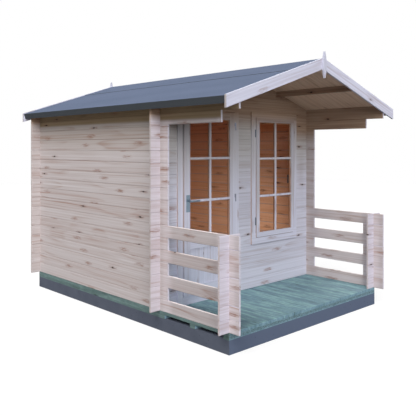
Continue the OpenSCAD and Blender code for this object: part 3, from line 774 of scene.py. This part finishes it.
@dataclass(frozen=True)
class FloatGlass(Finish):
    """Float glass, clear: faint waviness, a trace of dust, and lamps shine
    through it into the room."""

    tint: str = "#fbf8f4"
    rough: float = 0.02
    # Under the 1.52 of float glass, because the panes show almost no reflection
    ior: float = 1.1

    def surface(self, tree: Tree) -> Socket:
        """Builds the glass's shader.

        Args:
            tree: The material's node tree.

        Returns:
            The shader's output.
        """
        spot = add(tree, "TexCoord", out="Object")
        wave = add(tree, "TexNoise", {"Vector": spot, "Scale": 3.0, "Detail": 1.0})
        dust = add(tree, "TexNoise", {"Vector": spot, "Scale": 40.0, "Detail": 4.0})
        rough = add(tree, "MapRange", {0: dust, 1: 0.45, 2: 0.8, 3: 0.0, 4: self.rough})
        bump = add(tree, "Bump", {"Strength": 0.02, "Distance": 0.002, "Height": wave})
        looks = {"Base Color": linear(self.tint), "Roughness": rough, "Normal": bump}
        looks |= {"IOR": self.ior, "Transmission Weight": 1.0}
        glass = add(tree, "BsdfPrincipled", looks)
        clear = add(tree, "BsdfTransparent", {"Color": linear(self.tint)})
        path = add(tree, "LightPath").node.outputs
        rays = {0: path["Is Shadow Ray"], 1: path["Is Diffuse Ray"]}
        lamp = add(tree, "Math", rays, operation="MAXIMUM")
        return add(tree, "MixShader", {0: lamp, 1: glass, 2: clear})


def seen(tree: Tree) -> Socket:
    """Tells what the camera, gloss or glass sees from what lights.

    Args:
        tree: The node tree.

    Returns:
        1 for a seen ray and 0 for light.
    """
    path = add(tree, "LightPath").node.outputs
    found = path["Is Camera Ray"]
    for kind in ("Is Glossy Ray", "Is Transmission Ray"):
        found = add(tree, "Math", {0: found, 1: path[kind]}, operation="MAXIMUM")
    return found


@dataclass(frozen=True)
class StudioFloor(Finish):
    """Matt grey floor that looks near white and keeps the object's shadow."""

    grey: float = 0.22
    glow: float = 0.8

    def surface(self, tree: Tree) -> Socket:
        """Builds the floor's shader.

        Args:
            tree: The material's node tree.

        Returns:
            The shader's output.
        """
        glow = add(tree, "Math", {0: seen(tree), 1: self.glow}, operation="MULTIPLY")
        body = add(tree, "BsdfDiffuse", {"Color": (self.grey, self.grey, self.grey, 1.0)})
        light = add(tree, "Emission", {"Strength": glow})
        return add(tree, "AddShader", {0: body, 1: light})


SIDE_ENDS = (*RAIL_HIGHLIGHTS, CORNER_ENDS, POST_ENDS, POST_TIPS)
SIDE_LOGS = Timber(
    "planed_spruce_side_logs",
    Grain.SIDE_LOG,
    SIDE_TONE,
    (HIGH_SIDE_SHADE, LEFT_RAILS, RIGHT_RAIL_LIGHT, *SIDE_ENDS, EAVE_LOG_SHADE, TOP_RIGHT_SHADE, ROOM),
    # Cut ends paler and lilac, painted bluish front light
    END_GRAIN_LIGHT_TONE,
    seam=0.08,
)
ENDS_SHADE_TOP = (LEFT_ENDS_SHADE_TOP, RIGHT_ENDS_SHADE_TOP)
PORCH_ZONES = (PORCH_WALL, LEFT_PORCH_LIGHT, RIGHT_PORCH_SHADE, HIGH_PORCH_SHADE, ROOF_SHADE, ROOF_SHADE_RIGHT)
FRONT_LOGS = Timber(
    "planed_spruce_front_logs",
    Grain.FRONT_LOG,
    FRONT_TONE,
    (*ENDS_SHADE_TOP, *PORCH_ZONES, SILL_SHADOW_LINE, ROOM),
    # Faces turned to the side take the side logs' pink, painted warm side light
    SIDE_TONE,
)
BACK_LOGS = Timber(
    "planed_spruce_back_logs",
    Grain.FRONT_LOG,
    SIDE_TONE,
    (HIGH_BACK_SHADE, *ENDS_SHADE_TOP, ROOM),
    SIDE_TONE,
    seam=0.08,
    knotty=0.65,
)
POST_LOGS = Timber("planed_spruce_post_logs", Grain.POST, POST_TONE, turned=END_TONE)
ROOF_WOOD = Timber(
    "sawn_spruce_roof_boards",
    Grain.ROOF_BOARD,
    CEILING_TONE,
    (ROOM,),
    course=0.093,
    start=-1.7325,
    knotty=0.7,
)
PURLIN_WOOD = Timber("sawn_spruce_purlins", Grain.SIDE_LOG, SHELTERED_SHADE_TONE, (ROOM,), FRONT_TONE)
BARGE_WOOD = Timber(
    "planed_pine_barge_boards",
    Grain.BARGE,
    BARGE_TONE,
    turned=BARGE_END_TONE,
    course=0.13,
    knot_every=0.8,
    knotty=0.7,
    streak_mm=22.0,
)
UPRIGHT_WOOD = Timber(
    "planed_pine_uprights",
    Grain.UPRIGHT,
    PLANED_TONE,
    (HIGH_PLANED_SHADE, LOW_PLANED_LIGHT, ROOF_SHADE, *DOOR_ZONES, *WINDOW_PANE),
    EDGE_WARM_LIGHT_TONE,
    course=0.09,
    start=-0.779,
    knot_every=1.6,
    knotty=0.6,
)
FRAME_WOOD = Timber(
    "planed_pine_frames",
    Grain.FRAME,
    PLANED_TONE,
    (HIGH_PLANED_SHADE, SASH_FRONT, ROOF_SHADE, SASH_SHADOW_LINE, ROOM_SIDE, *WINDOW_PANE),
    EDGE_WARM_LIGHT_TONE,
    course=0.07,
    start=CASING_X[0],
    knot_every=1.6,
    knotty=0.6,
    middle_z=1.3725,
    pane_h=1.205,
)
LEVEL_WOOD = Timber(
    "planed_pine_rails",
    Grain.FRONT_LOG,
    PLANED_TONE,
    (HIGH_PLANED_SHADE, LOW_PLANED_LIGHT, ROOF_SHADE, *DOOR_ZONES),
    EDGE_WARM_LIGHT_TONE,
    knot_every=1.6,
    knotty=0.6,
)
FINIAL_WOOD = Timber("planed_pine_finials", Grain.UPRIGHT, PLANED_TONE, course=0.09, knotty=0.4)
FLOOR_WOOD = Timber("planed_spruce_floor", Grain.LAID, ROOM_TONE, course=0.096, start=-1.08)
SKIRTING_WOOD = Timber("planed_spruce_skirting", Grain.SIDE_LOG, ROOM_TONE)
CROSS_SKIRTING_WOOD = Timber("planed_spruce_cross_skirting", Grain.FRONT_LOG, ROOM_TONE)
DECK_WOOD = Timber(
    "treated_pine_deck_boards",
    Grain.LAID,
    DECK_TONE,
    (DECK_SIDE,),
    JOIST_TONE,
    course=2.25 / 19,
    start=-1.125,
    knot_every=0.5,
    knotty=0.8,
    knot_colour="#3c5254",
    cloud_colour="#567478",
    streak_mm=26.0,
    streak_m=0.4,
    blotch=0.6,
)
BEARER_WOOD = Timber(
    "treated_pine_bearers",
    Grain.SIDE_LOG,
    BEARER_TONE,
    turned=JOIST_TONE,
    knot_every=0.6,
    knot_colour="#2b3a36",
    cloud_colour="#43544f",
    streak_mm=24.0,
    streak_m=0.7,
    blotch=0.9,
)
FELT = MineralFelt("slate_grit_roofing_felt")
CONCRETE = CastConcrete("stained_cast_concrete")
STEEL = SatinSteel("brushed_zinc_plated_steel")
HINGE_STEEL = SatinSteel("dulled_zinc_plated_hinges", colour="#767d88", worn="#646a74", rough=0.5)
PALE_STEEL = SatinSteel("tumbled_zinc_plated_hinges", colour="#a0a3b0", worn="#8d909d", rough=0.5)
NAIL_STEEL = SatinSteel("dipped_zinc_plated_nails", colour="#5d6774", worn="#4d5662", rough=0.6)
GLASS = FloatGlass("clear_float_glass")
PALE_FLOOR = StudioFloor("pale_floor")


def dress(frame: dict[str, Any], finish: Finish, *names: str) -> None:
    """Gives CAD nodes a finish.

    Args:
        finish: The finish.
        names: The nodes' names.
    """
    for name in names:
        node = frame["nodes"][name]
        if not node.material_slots:
            node.data.materials.append(None)
        for slot in node.material_slots:
            slot.material = finish.material()
        LOG.info("dressed %s with %s", name, finish.name)


def put(name: str, data: bpy.types.ID) -> bpy.types.Object:
    """Puts an object into the scene.

    Args:
        name: The object's name.
        data: Its mesh, lamp or camera.

    Returns:
        The new object.
    """
    made = bpy.data.objects.new(name, data)
    bpy.context.scene.collection.objects.link(made)
    return made


def finished(name: str, mesh: Mesh, finish: Finish) -> bpy.types.Object:
    """Turns a built mesh into an object with a finish.

    Args:
        name: The object's name.
        mesh: The built mesh, which is freed.
        finish: Its finish.

    Returns:
        The new object.
    """
    data = bpy.data.meshes.new(name)
    mesh.to_mesh(data)
    mesh.free()
    data.materials.append(finish.material())
    return put(name, data)


def piece(name: str, mesh: Mesh, finish: Finish, body: str, slot: str, *nodes: str) -> None:
    """Turns a built mesh into a piece that rides on a body.

    Args:
        name: The piece's name.
        mesh: The built mesh in the part's frame, which is freed.
        finish: Its finish.
        body: The body it rides on.
        slot: Not used.
        nodes: CAD nodes that it stands for.
    """
    bmesh.ops.recalc_face_normals(mesh, faces=mesh.faces)
    made = finished(name, mesh, finish)
    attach(made, body)
    if nodes:
        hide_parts(*nodes)
    LOG.info("built %s with %d faces", name, len(made.data.polygons))


def rounded(width: float, height: float, radius: float, steps: int) -> list[Point]:
    """Draws a section with rounded corners about its centre.

    Args:
        width: Size along the first axis.
        height: Size along the second axis.
        radius: Corner radius.
        steps: Straight lines in each corner.

    Returns:
        The outline, turning one way.
    """
    points = []
    for turn, (sx, sy) in enumerate([(1, 1), (-1, 1), (-1, -1), (1, -1)]):
        for step in range(steps + 1):
            angle = math.pi / 2 * (turn + step / steps)
            u = sx * (width / 2 - radius) + radius * math.cos(angle)
            v = sy * (height / 2 - radius) + radius * math.sin(angle)
            points.append((u, v))
    return points


def bridge(mesh: Mesh, rings: Sequence[Sequence[bmesh.types.BMVert]]) -> None:
    """Joins each ring of points to the next with a band of faces.

    Args:
        mesh: The mesh that the points are in.
        rings: Rings with as many points each.
    """
    for first, second in zip(rings, rings[1:]):
        for i in range(len(first)):
            j = (i + 1) % len(first)
            mesh.faces.new((first[i], first[j], second[j], second[i]))


def sweep(
    mesh: Mesh, section: Sequence[Point], start: float, end: float, place: Place, ease: float = 0.001
) -> None:
    """Draws a section along a straight line, with its ends eased.

    Args:
        mesh: The mesh that takes the bar.
        section: The outline.
        start: Where the bar begins along its length.
        end: Where it ends.
        place: Turns length and the section's two axes into a point.
        ease: Size of the eased edge at each end.
    """
    u0 = sum(p[0] for p in section) / len(section)
    v0 = sum(p[1] for p in section) / len(section)
    wide = max(abs(p[0] - u0) for p in section)
    high = max(abs(p[1] - v0) for p in section)
    rings = []
    for at, inset in ((start, ease), (start + ease, 0), (end - ease, 0), (end, ease)):
        ku, kv = 1 - inset / wide, 1 - inset / high
        ring = [place(at, u0 + (u - u0) * ku, v0 + (v - v0) * kv) for u, v in section]
        rings.append([mesh.verts.new(point) for point in ring])
    bridge(mesh, rings)
    mesh.faces.new(rings[0])
    mesh.faces.new(rings[-1])


def lathe(mesh: Mesh, profile: Sequence[Point], place: Place, sides: int) -> None:
    """Turns a profile round its axis.

    Args:
        mesh: The mesh that takes the turned form.
        profile: Radius and height from the foot to the top, ending on the axis.
        place: Turns two axes across and the height into a point.
        sides: Flats round the form.
    """
    turns = [2 * math.pi * i / sides for i in range(sides)]
    rings = []
    for radius, height in profile[:-1]:
        ring = [place(radius * math.cos(t), radius * math.sin(t), height) for t in turns]
        rings.append([mesh.verts.new(point) for point in ring])
    tip = mesh.verts.new(place(0.0, 0.0, profile[-1][1]))
    bridge(mesh, rings)
    for i in range(sides):
        mesh.faces.new((rings[-1][i], rings[-1][(i + 1) % sides], tip))
    mesh.faces.new(rings[0])


@dataclass
class Base:
    """Plinth, bearers and floors under the cabin."""

    deck_boards: int = 19
    deck_gap: float = 0.004
    deck_round: float = 0.004
    deck_ease: float = 0.002
    floor_w: float = 0.096
    floor_gap: float = 0.0008
    floor_round: float = 0.002
    floor_ease: float = 0.001
    skirting_w: float = 0.034
    skirting_h: float = 0.045
    skirting_gap: float = 0.0003

    def lay(self, node: str, count: int, gap: float, edge: tuple[float, int, float], spare: float) -> Mesh:
        """Lays boards from front to back over the box of a CAD node.

        Args:
            node: The CAD node that the boards stand for.
            count: Number of boards.
            gap: Space between two boards.
            edge: Radius of a board's edges, straight lines in each, and ease of its ends.
            spare: How much wider the first and last board are.

        Returns:
            The boards' mesh.
        """
        low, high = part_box(node)
        pitch = (high.x - low.x) / count
        thick = high.z - low.z
        radius, steps, ease = edge
        mesh = bmesh.new()
        for i in range(count):
            wide = spare if i in (0, count - 1) else 0.0
            middle = low.x + pitch * (i + 0.5) + wide / 2 * (-1 if i == 0 else 1)
            section = rounded(pitch - gap + wide, thick, radius, steps)
            sweep(
                mesh,
                section,
                low.y,
                high.y,
                lambda s, u, v: Vector((middle + u, s, low.z + thick / 2 + v)),
                ease,
            )
        return mesh

    def build_floors(self) -> None:
        """Lays the porch deck, flush at its sides, and the room's floor."""
        edge = (self.deck_round, 3, self.deck_ease)
        deck = self.lay("porch_deck", self.deck_boards, self.deck_gap, edge, self.deck_gap / 2)
        piece("porch_deck_boards", deck, DECK_WOOD, CABIN, "green_pine", "porch_deck")
        low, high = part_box("room_floor")
        count = round((high.x - low.x) / self.floor_w)
        edge = (self.floor_round, 2, self.floor_ease)
        floor = self.lay("room_floor", count, self.floor_gap, edge, 0.0)
        piece("room_floor_boards", floor, FLOOR_WOOD, CABIN, "roof_pine", "room_floor")

    def build_skirting(self) -> None:
        """Runs skirting boards round the room, over the gap beside its floor."""
        wide, tall, gap = self.skirting_w, self.skirting_h, self.skirting_gap
        section = [(0.0, 0.0), (wide, 0.0), (wide, tall * 0.6), (wide * 0.86, tall * 0.86)]
        section += [(wide * 0.6, tall), (0.0, tall)]
        left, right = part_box("left_wall")[1].x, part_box("right_wall")[0].x
        front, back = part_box("front_wall_left")[1].y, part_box("back_wall")[0].y
        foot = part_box("room_floor")[1].z + gap
        jamb_low, jamb_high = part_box("door_jambs")
        mesh = bmesh.new()
        for wall, turn in ((left, 1), (right, -1)):
            sweep(
                mesh,
                section,
                front + gap,
                back - gap,
                lambda s, u, v: Vector((wall + turn * (u + gap), s, foot + v)),
            )
        piece("room_side_skirting", mesh, SKIRTING_WOOD, CABIN, "roof_pine")
        mesh = bmesh.new()
        start, end = left + wide + 2 * gap, right - wide - 2 * gap
        runs = [(back, -1, start, end), (front, 1, start, jamb_low.x - gap)]
        runs.append((front, 1, jamb_high.x + gap, end))
        for wall, turn, x0, x1 in runs:
            sweep(mesh, section, x0, x1, lambda s, u, v: Vector((s, wall + turn * (u + gap), foot + v)))
        piece("room_cross_skirting", mesh, CROSS_SKIRTING_WOOD, CABIN, "roof_pine")

    def build(self, frame: dict[str, Any]) -> None:
        """Lays both floors and dresses what carries them.
        """
        dress(frame, CONCRETE, "base_plinth")
        dress(frame, BEARER_WOOD, "base_bearers")
        self.build_floors()
        self.build_skirting()


@dataclass
class LogWalls:
    """The crossed logs of the walls, gables, rails and porch posts."""

    side_parts: tuple[str, ...] = ("wall", "rails", "eave_logs")
    back_parts: tuple[str, ...] = ("wall", "gable")
    front_parts: tuple[str, ...] = (
        "wall_left",
        "wall_below_window",
        "wall_middle",
        "wall_right",
        "lintel_log",
        "gable",
    )

    def build(self, frame: dict[str, Any]) -> None:
        """Dresses the logs by the way that their fibres run.
        """
        sides = ("left", "right")
        dress(frame, SIDE_LOGS, *(f"{side}_{part}" for side in sides for part in self.side_parts))
        dress(frame, BACK_LOGS, *(f"back_{part}" for part in self.back_parts))
        dress(frame, FRONT_LOGS, *(f"front_{part}" for part in self.front_parts))
        dress(frame, POST_LOGS, *(f"{side}_post" for side in sides))


@dataclass
class Roof:
    """Boards, felt, barge boards and finials of the roof."""

    boards: int = 37
    thick: float = 0.016
    joint: float = 0.003
    gap: float = 0.0004
    nail_r: float = 0.0045
    nail_step: float = 0.15
    nail_sides: int = 10
    # Height of the felt's folded edge, and how far down it the nails are
    fold_h: float = 0.067
    nail_down: float = 0.041
    # How far from the ridge the nails of its strip are
    nail_run: float = 0.41

    def build_boards(self, side: int, node: str, name: str) -> None:
        """Lays one slope of boards from ridge to eave, joints eased below.

        Args:
            side: -1 for the left slope and 1 for the right.
            node: The CAD node that the boards stand for.
            name: The piece's name.
        """
        low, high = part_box(node)
        ridge_x, eave_x = (high.x, low.x) if side < 0 else (low.x, high.x)
        pitch = (high.y - low.y) / self.boards
        eave_z = high.z - abs(eave_x - ridge_x) * TAN
        deep, c = self.thick, self.joint
        mesh = bmesh.new()
        for i in range(self.boards):
            y0, y1 = low.y + pitch * i + self.gap / 2, low.y + pitch * (i + 1) - self.gap / 2
            outline = [(y0, 0.0), (y1, 0.0), (y1, deep - c), (y1 - c, deep), (y0 + c, deep), (y0, deep - c)]
            ends: list[list[bmesh.types.BMVert]] = [[], []]
            for y, down in outline:
                eave = Vector((eave_x, y, eave_z)) + down * Vector((-side * SIN, 0, -COS))
                ends[0].append(mesh.verts.new(eave))
                ends[1].append(mesh.verts.new(Vector((ridge_x, y, high.z - down / COS))))
            bridge(mesh, ends)
            mesh.faces.new(ends[0])
            mesh.faces.new(ends[1])
        piece(name, mesh, ROOF_WOOD, CABIN, "roof_pine", node)

    def build_nails(self) -> None:
        """Drives clout nails along the folded eaves and the ridge strip."""
        low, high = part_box("left_roof_felt")
        ridge_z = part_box("ridge_felt")[1].z - self.nail_run * TAN
        head = [(self.nail_r, 0.0), (self.nail_r, 0.0005), (self.nail_r * 0.7, 0.001), (0, 0.0011)]
        count = int((high.y - low.y) / self.nail_step)
        first = low.y + ((high.y - low.y) - (count - 1) * self.nail_step) / 2
        mesh = bmesh.new()
        for side in (-1, 1):
            out, up = Vector((side * COS, 0, -SIN)), Vector((side * SIN, 0, COS))
            for i in range(count):
                y = first + i * self.nail_step
                eave = Vector((side * abs(low.x), y, low.z + self.fold_h * COS)) - self.nail_down * up
                spots = [(eave, out, up)]
                if i < count - 1:
                    ridge = Vector((side * self.nail_run, y + self.nail_step / 2, ridge_z))
                    spots.append((ridge, up, out))
                for foot, rise, across in spots:
                    lathe(
                        mesh,
                        head,
                        lambda u, v, h: foot + u * across + Vector((0, v, 0)) + h * rise,
                        self.nail_sides,
                    )
        piece("felt_clout_nails", mesh, NAIL_STEEL, CABIN, "grey_steel")

    def build(self, frame: dict[str, Any]) -> None:
        """Builds the boards and nails and dresses the rest.
        """
        self.build_boards(-1, "left_roof_boards", "left_roof_slope_boards")
        self.build_boards(1, "right_roof_boards", "right_roof_slope_boards")
        dress(frame, PURLIN_WOOD, "roof_purlins", "eave_boards")
        dress(frame, FELT, "left_roof_felt", "right_roof_felt", "ridge_felt")
        dress(frame, BARGE_WOOD, "front_barge_boards", "back_barge_boards")
        dress(frame, FINIAL_WOOD, "roof_finials")
        self.build_nails()


@dataclass
class Glazing:
    """Bars that divide a pane and the beads that hold it."""

    node: str
    levels: tuple[float, float]
    bar_w: float = 0.024
    # How far a bar stands off the pane outside and inside
    proud: Point = (0.017, 0.012)
    chamfer: float = 0.004
    # How far from the middle a level bar begins, as a share of half an upright one
    cross: float = 0.7
    bead: float = 0.009
    # Room at the ends of bars and beads, room between them and the glass, and their eased ends
    room: float = 0.0003
    seat: float = 0.0002
    end_ease: float = 0.0002

    def add_bars(self, mesh: Mesh) -> None:
        """Sets one upright bar and level bars on both faces of the pane.

        Args:
            mesh: The mesh that takes the bars.
        """
        low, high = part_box(self.node)
        middle, half, ease = (low.x + high.x) / 2, self.bar_w / 2, self.chamfer
        foot, top = low.z + self.room, high.z - self.room
        left = (low.x + self.room, middle - self.cross * half)
        right = (middle + self.cross * half, high.x - self.room)
        for face, out, rise in ((low.y, -1, self.proud[0]), (high.y, 1, self.proud[1])):
            section = [(-half, 0.0), (half, 0.0), (half, rise - ease), (half - ease, rise)]
            section += [(ease - half, rise), (-half, rise - ease)]
            sweep(
                mesh,
                section,
                foot,
                top,
                lambda s, u, v: Vector((middle + u, face + out * (v + self.seat), s)),
                self.end_ease,
            )
            for level in self.levels:
                for start, end in (left, right):
                    sweep(
                        mesh,
                        section,
                        start,
                        end,
                        lambda s, u, v: Vector((s, face + out * (v + self.seat), level + u)),
                        self.end_ease,
                    )

    def add_beads(self, mesh: Mesh) -> None:
        """Runs a quarter-round bead round the inner face of the pane.

        Args:
            mesh: The mesh that takes the beads.
        """
        low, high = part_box(self.node)
        size, room = self.bead, self.room
        arc = [(size * math.cos(a), size * math.sin(a)) for a in (0, 0.4, 0.8, 1.2, math.pi / 2)]
        section = [(0.0, 0.0), *arc]
        face = high.y + self.seat
        for x, turn in ((low.x, 1), (high.x, -1)):
            sweep(
                mesh,
                section,
                low.z + room,
                high.z - room,
                lambda s, u, v: Vector((x + turn * (u + room), face + v, s)),
                self.end_ease,
            )
        for z, turn in ((low.z, 1), (high.z, -1)):
            sweep(
                mesh,
                section,
                low.x + size,
                high.x - size,
                lambda s, u, v: Vector((s, face + v, z + turn * (u + room))),
                self.end_ease,
            )

    def build(self, name: str, body: str) -> None:
        """Makes the bars and beads one piece.

        Args:
            name: The piece's name.
            body: The body that carries the pane.
        """
        mesh = bmesh.new()
        self.add_bars(mesh)
        self.add_beads(mesh)
        piece(name, mesh, UPRIGHT_WOOD, body, "planed_pine")


@dataclass
class Door:
    """The glazed door with its frame, hinges and lock."""

    bar_levels: tuple[float, float] = (1.1745, 1.5875)
    panel_boards: int = 6
    panel_joint: float = 0.003
    panel_gap: float = 0.0004
    panel_ease: float = 0.0003
    screw_r: float = 0.0038
    screw_sides: int = 12
    barrel_sides: int = 20
    # How far the lock plates' screws are from their ends, and the key barrels from their foot
    screw_in: float = 0.012
    barrel_up: float = 0.05

    def build_panel(self) -> None:
        """Fits upright boards into the lower half, joints eased on both faces."""
        low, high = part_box("door_panel")
        pitch = (high.x - low.x) / self.panel_boards
        c = self.panel_joint
        half, deep = pitch / 2 - self.panel_gap / 2, (high.y - low.y) / 2
        section = [(-half, -deep + c), (-half + c, -deep), (half - c, -deep), (half, -deep + c)]
        section += [(half, deep - c), (half - c, deep), (-half + c, deep), (-half, deep - c)]
        mesh = bmesh.new()
        for i in range(self.panel_boards):
            middle = low.x + pitch * (i + 0.5)
            sweep(
                mesh,
                section,
                low.z,
                high.z,
                lambda s, u, v: Vector((middle + u, (low.y + high.y) / 2 + v, s)),
                self.panel_ease,
            )
        piece("door_panel_boards", mesh, UPRIGHT_WOOD, DOOR, "planed_pine", "door_panel")

    def build_screws(self) -> None:
        """Drives the screws of the lock plates and fits the key barrels."""
        r = self.screw_r
        # A raised head with a driver hole, and a barrel with a key hole
        head = [(r, 0.0), (r, 0.0004), (r * 0.8, 0.0011)]
        head += [(r * 0.42, 0.0013), (r * 0.36, 0.0005), (0.0, 0.0004)]
        barrel = [(0.0085, 0.0), (0.0085, 0.0025), (0.0078, 0.003)]
        barrel += [(0.003, 0.003), (0.0028, 0.001), (0.0, 0.001)]
        low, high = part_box("door_lock_plates")
        middle = (low.x + high.x) / 2
        turned = [(z, head, self.screw_sides) for z in (low.z + self.screw_in, high.z - self.screw_in)]
        turned.append((low.z + self.barrel_up, barrel, self.barrel_sides))
        mesh = bmesh.new()
        for face, out in ((low.y, -1), (high.y, 1)):
            for z, profile, sides in turned:
                spot = Vector((middle, face, z))
                lathe(mesh, profile, lambda u, v, h: spot + Vector((u, out * h, v)), sides)
        piece("door_lock_screws", mesh, STEEL, DOOR, "grey_steel")

    def build(self, frame: dict[str, Any]) -> None:
        """Builds the small pieces and dresses the door and its frame.
        """
        dress(frame, UPRIGHT_WOOD, "door_jambs", "door_stiles")
        dress(frame, LEVEL_WOOD, "door_head", "door_sill", "door_rails")
        dress(frame, GLASS, "door_glass")
        dress(frame, PALE_STEEL, "door_hinge_leaves", "door_hinge_seats")
        dress(frame, STEEL, "door_lock_plates", "door_levers")
        self.build_panel()
        Glazing("door_glass", self.bar_levels).build("door_glazing_bars", DOOR)
        self.build_screws()


@dataclass
class Window:
    """The fixed window with its sash and bars."""

    bar_levels: tuple[float, float] = (1.166, 1.574)

    def build(self, frame: dict[str, Any]) -> None:
        """Builds the bars and dresses the frame and sash.
        """
        dress(frame, FRAME_WOOD, "window_frame", "window_sash")
        dress(frame, GLASS, "window_glass")
        dress(frame, HINGE_STEEL, "window_fittings")
        Glazing("window_glass", self.bar_levels).build("window_glazing_bars", CABIN)


def facing_from(direction: Triple) -> Euler:
    """Returns the turn of a lamp whose light comes from a direction."""
    return Vector(direction).to_track_quat("Z", "Y").to_euler()


@dataclass(frozen=True)
class Lamp:
    """A soft white lamp far away."""

    name: str
    # Direction from the object to the lamp
    towards: Triple
    # How much of a facing white surface's light it gives
    level: float
    # Apparent width in degrees
    width: float

    def build(self) -> None:
        """Hangs the lamp."""
        data = bpy.data.lights.new(self.name, "SUN")
        data.energy = self.level * math.pi
        data.angle = math.radians(self.width)
        put(self.name, data).rotation_euler = facing_from(self.towards)


@dataclass
class Studio:
    """Pale floor, soft light and the camera of the picture."""

    eye: Triple = (-4.4739, -4.8981, 1.6899)
    yaw: float = math.radians(43.525)
    focal_px: float = 575.06
    horizon_px: float = 147.98
    lamps: tuple[Lamp, ...] = (
        Lamp("soft_side", (-0.58, -0.25, 0.775), 0.73, 35.0),
        Lamp("soft_front", (-0.44, -0.815, 0.375), 0.71, 45.0),
        Lamp("soft_fill", (0.55, 0.7, 0.6), 0.5, 40.0),
    )
    sky_level: float = 0.12
    room_at: Triple = (-0.1, -0.1, 1.05)
    room_from: Triple = (-0.36, -0.3, 0.88)
    room_watt: float = 6.5
    room_side: float = 0.6
    floor_side: float = 40.0
    floor_down: float = 0.001

    def build_camera(self) -> None:
        """Stands the camera where the picture was taken from."""
        data = bpy.data.cameras.new("picture_camera")
        data.lens = self.focal_px / IMAGE_SIDE * data.sensor_width
        data.shift_y = (self.horizon_px - IMAGE_SIDE / 2) / IMAGE_SIDE
        camera = put("picture_camera", data)
        camera.location = self.eye
        camera.rotation_euler = (math.pi / 2, 0.0, -self.yaw)
        bpy.context.scene.camera = camera

    def build_room_lamp(self) -> None:
        """Hangs a weak soft lamp in the room, so that the room shows through the panes."""
        data = bpy.data.lights.new("soft_room", "AREA")
        data.energy = self.room_watt
        data.size = self.room_side
        lamp = put("soft_room", data)
        lamp.location = self.room_at
        lamp.rotation_euler = facing_from(self.room_from)
        lamp.visible_camera = lamp.visible_glossy = lamp.visible_transmission = False

    def build_sky(self) -> None:
        """Surrounds the object with even light that looks white."""
        world = bpy.data.worlds.new("soft_sky")
        bpy.context.scene.world = world
        world.use_nodes = True
        tree = world.node_tree
        tree.nodes.clear()
        level = add(tree, "MapRange", {0: seen(tree), 3: self.sky_level, 4: 1.0})
        sky = add(tree, "Background", {"Color": linear("#ffffff"), "Strength": level})
        add(tree, "OutputWorld", {"Surface": sky}, out=None)

    def build_floor(self) -> None:
        """Lays a pale floor under the object."""
        mesh = bmesh.new()
        bmesh.ops.create_grid(mesh, x_segments=1, y_segments=1, size=self.floor_side / 2)
        floor = finished("pale_floor", mesh, PALE_FLOOR)
        floor.location.z = -self.floor_down

    def build(self) -> None:
        """Sets up the camera, lamps, sky and floor."""
        bpy.context.scene.view_settings.view_transform = "Standard"
        self.build_camera()
        for lamp in self.lamps:
            lamp.build()
        self.build_room_lamp()
        self.build_sky()
        self.build_floor()


def main() -> None:
    """Builds and dresses every part of the cabin in turn."""
    logging.basicConfig(level=logging.INFO, format="%(message)s")
    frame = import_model()
    for part in (Base(), LogWalls(), Roof(), Door(), Window()):
        LOG.info("building %s", type(part).__name__)
        part.build(frame)
    Studio().build()


if __name__ == "__main__":
    main()
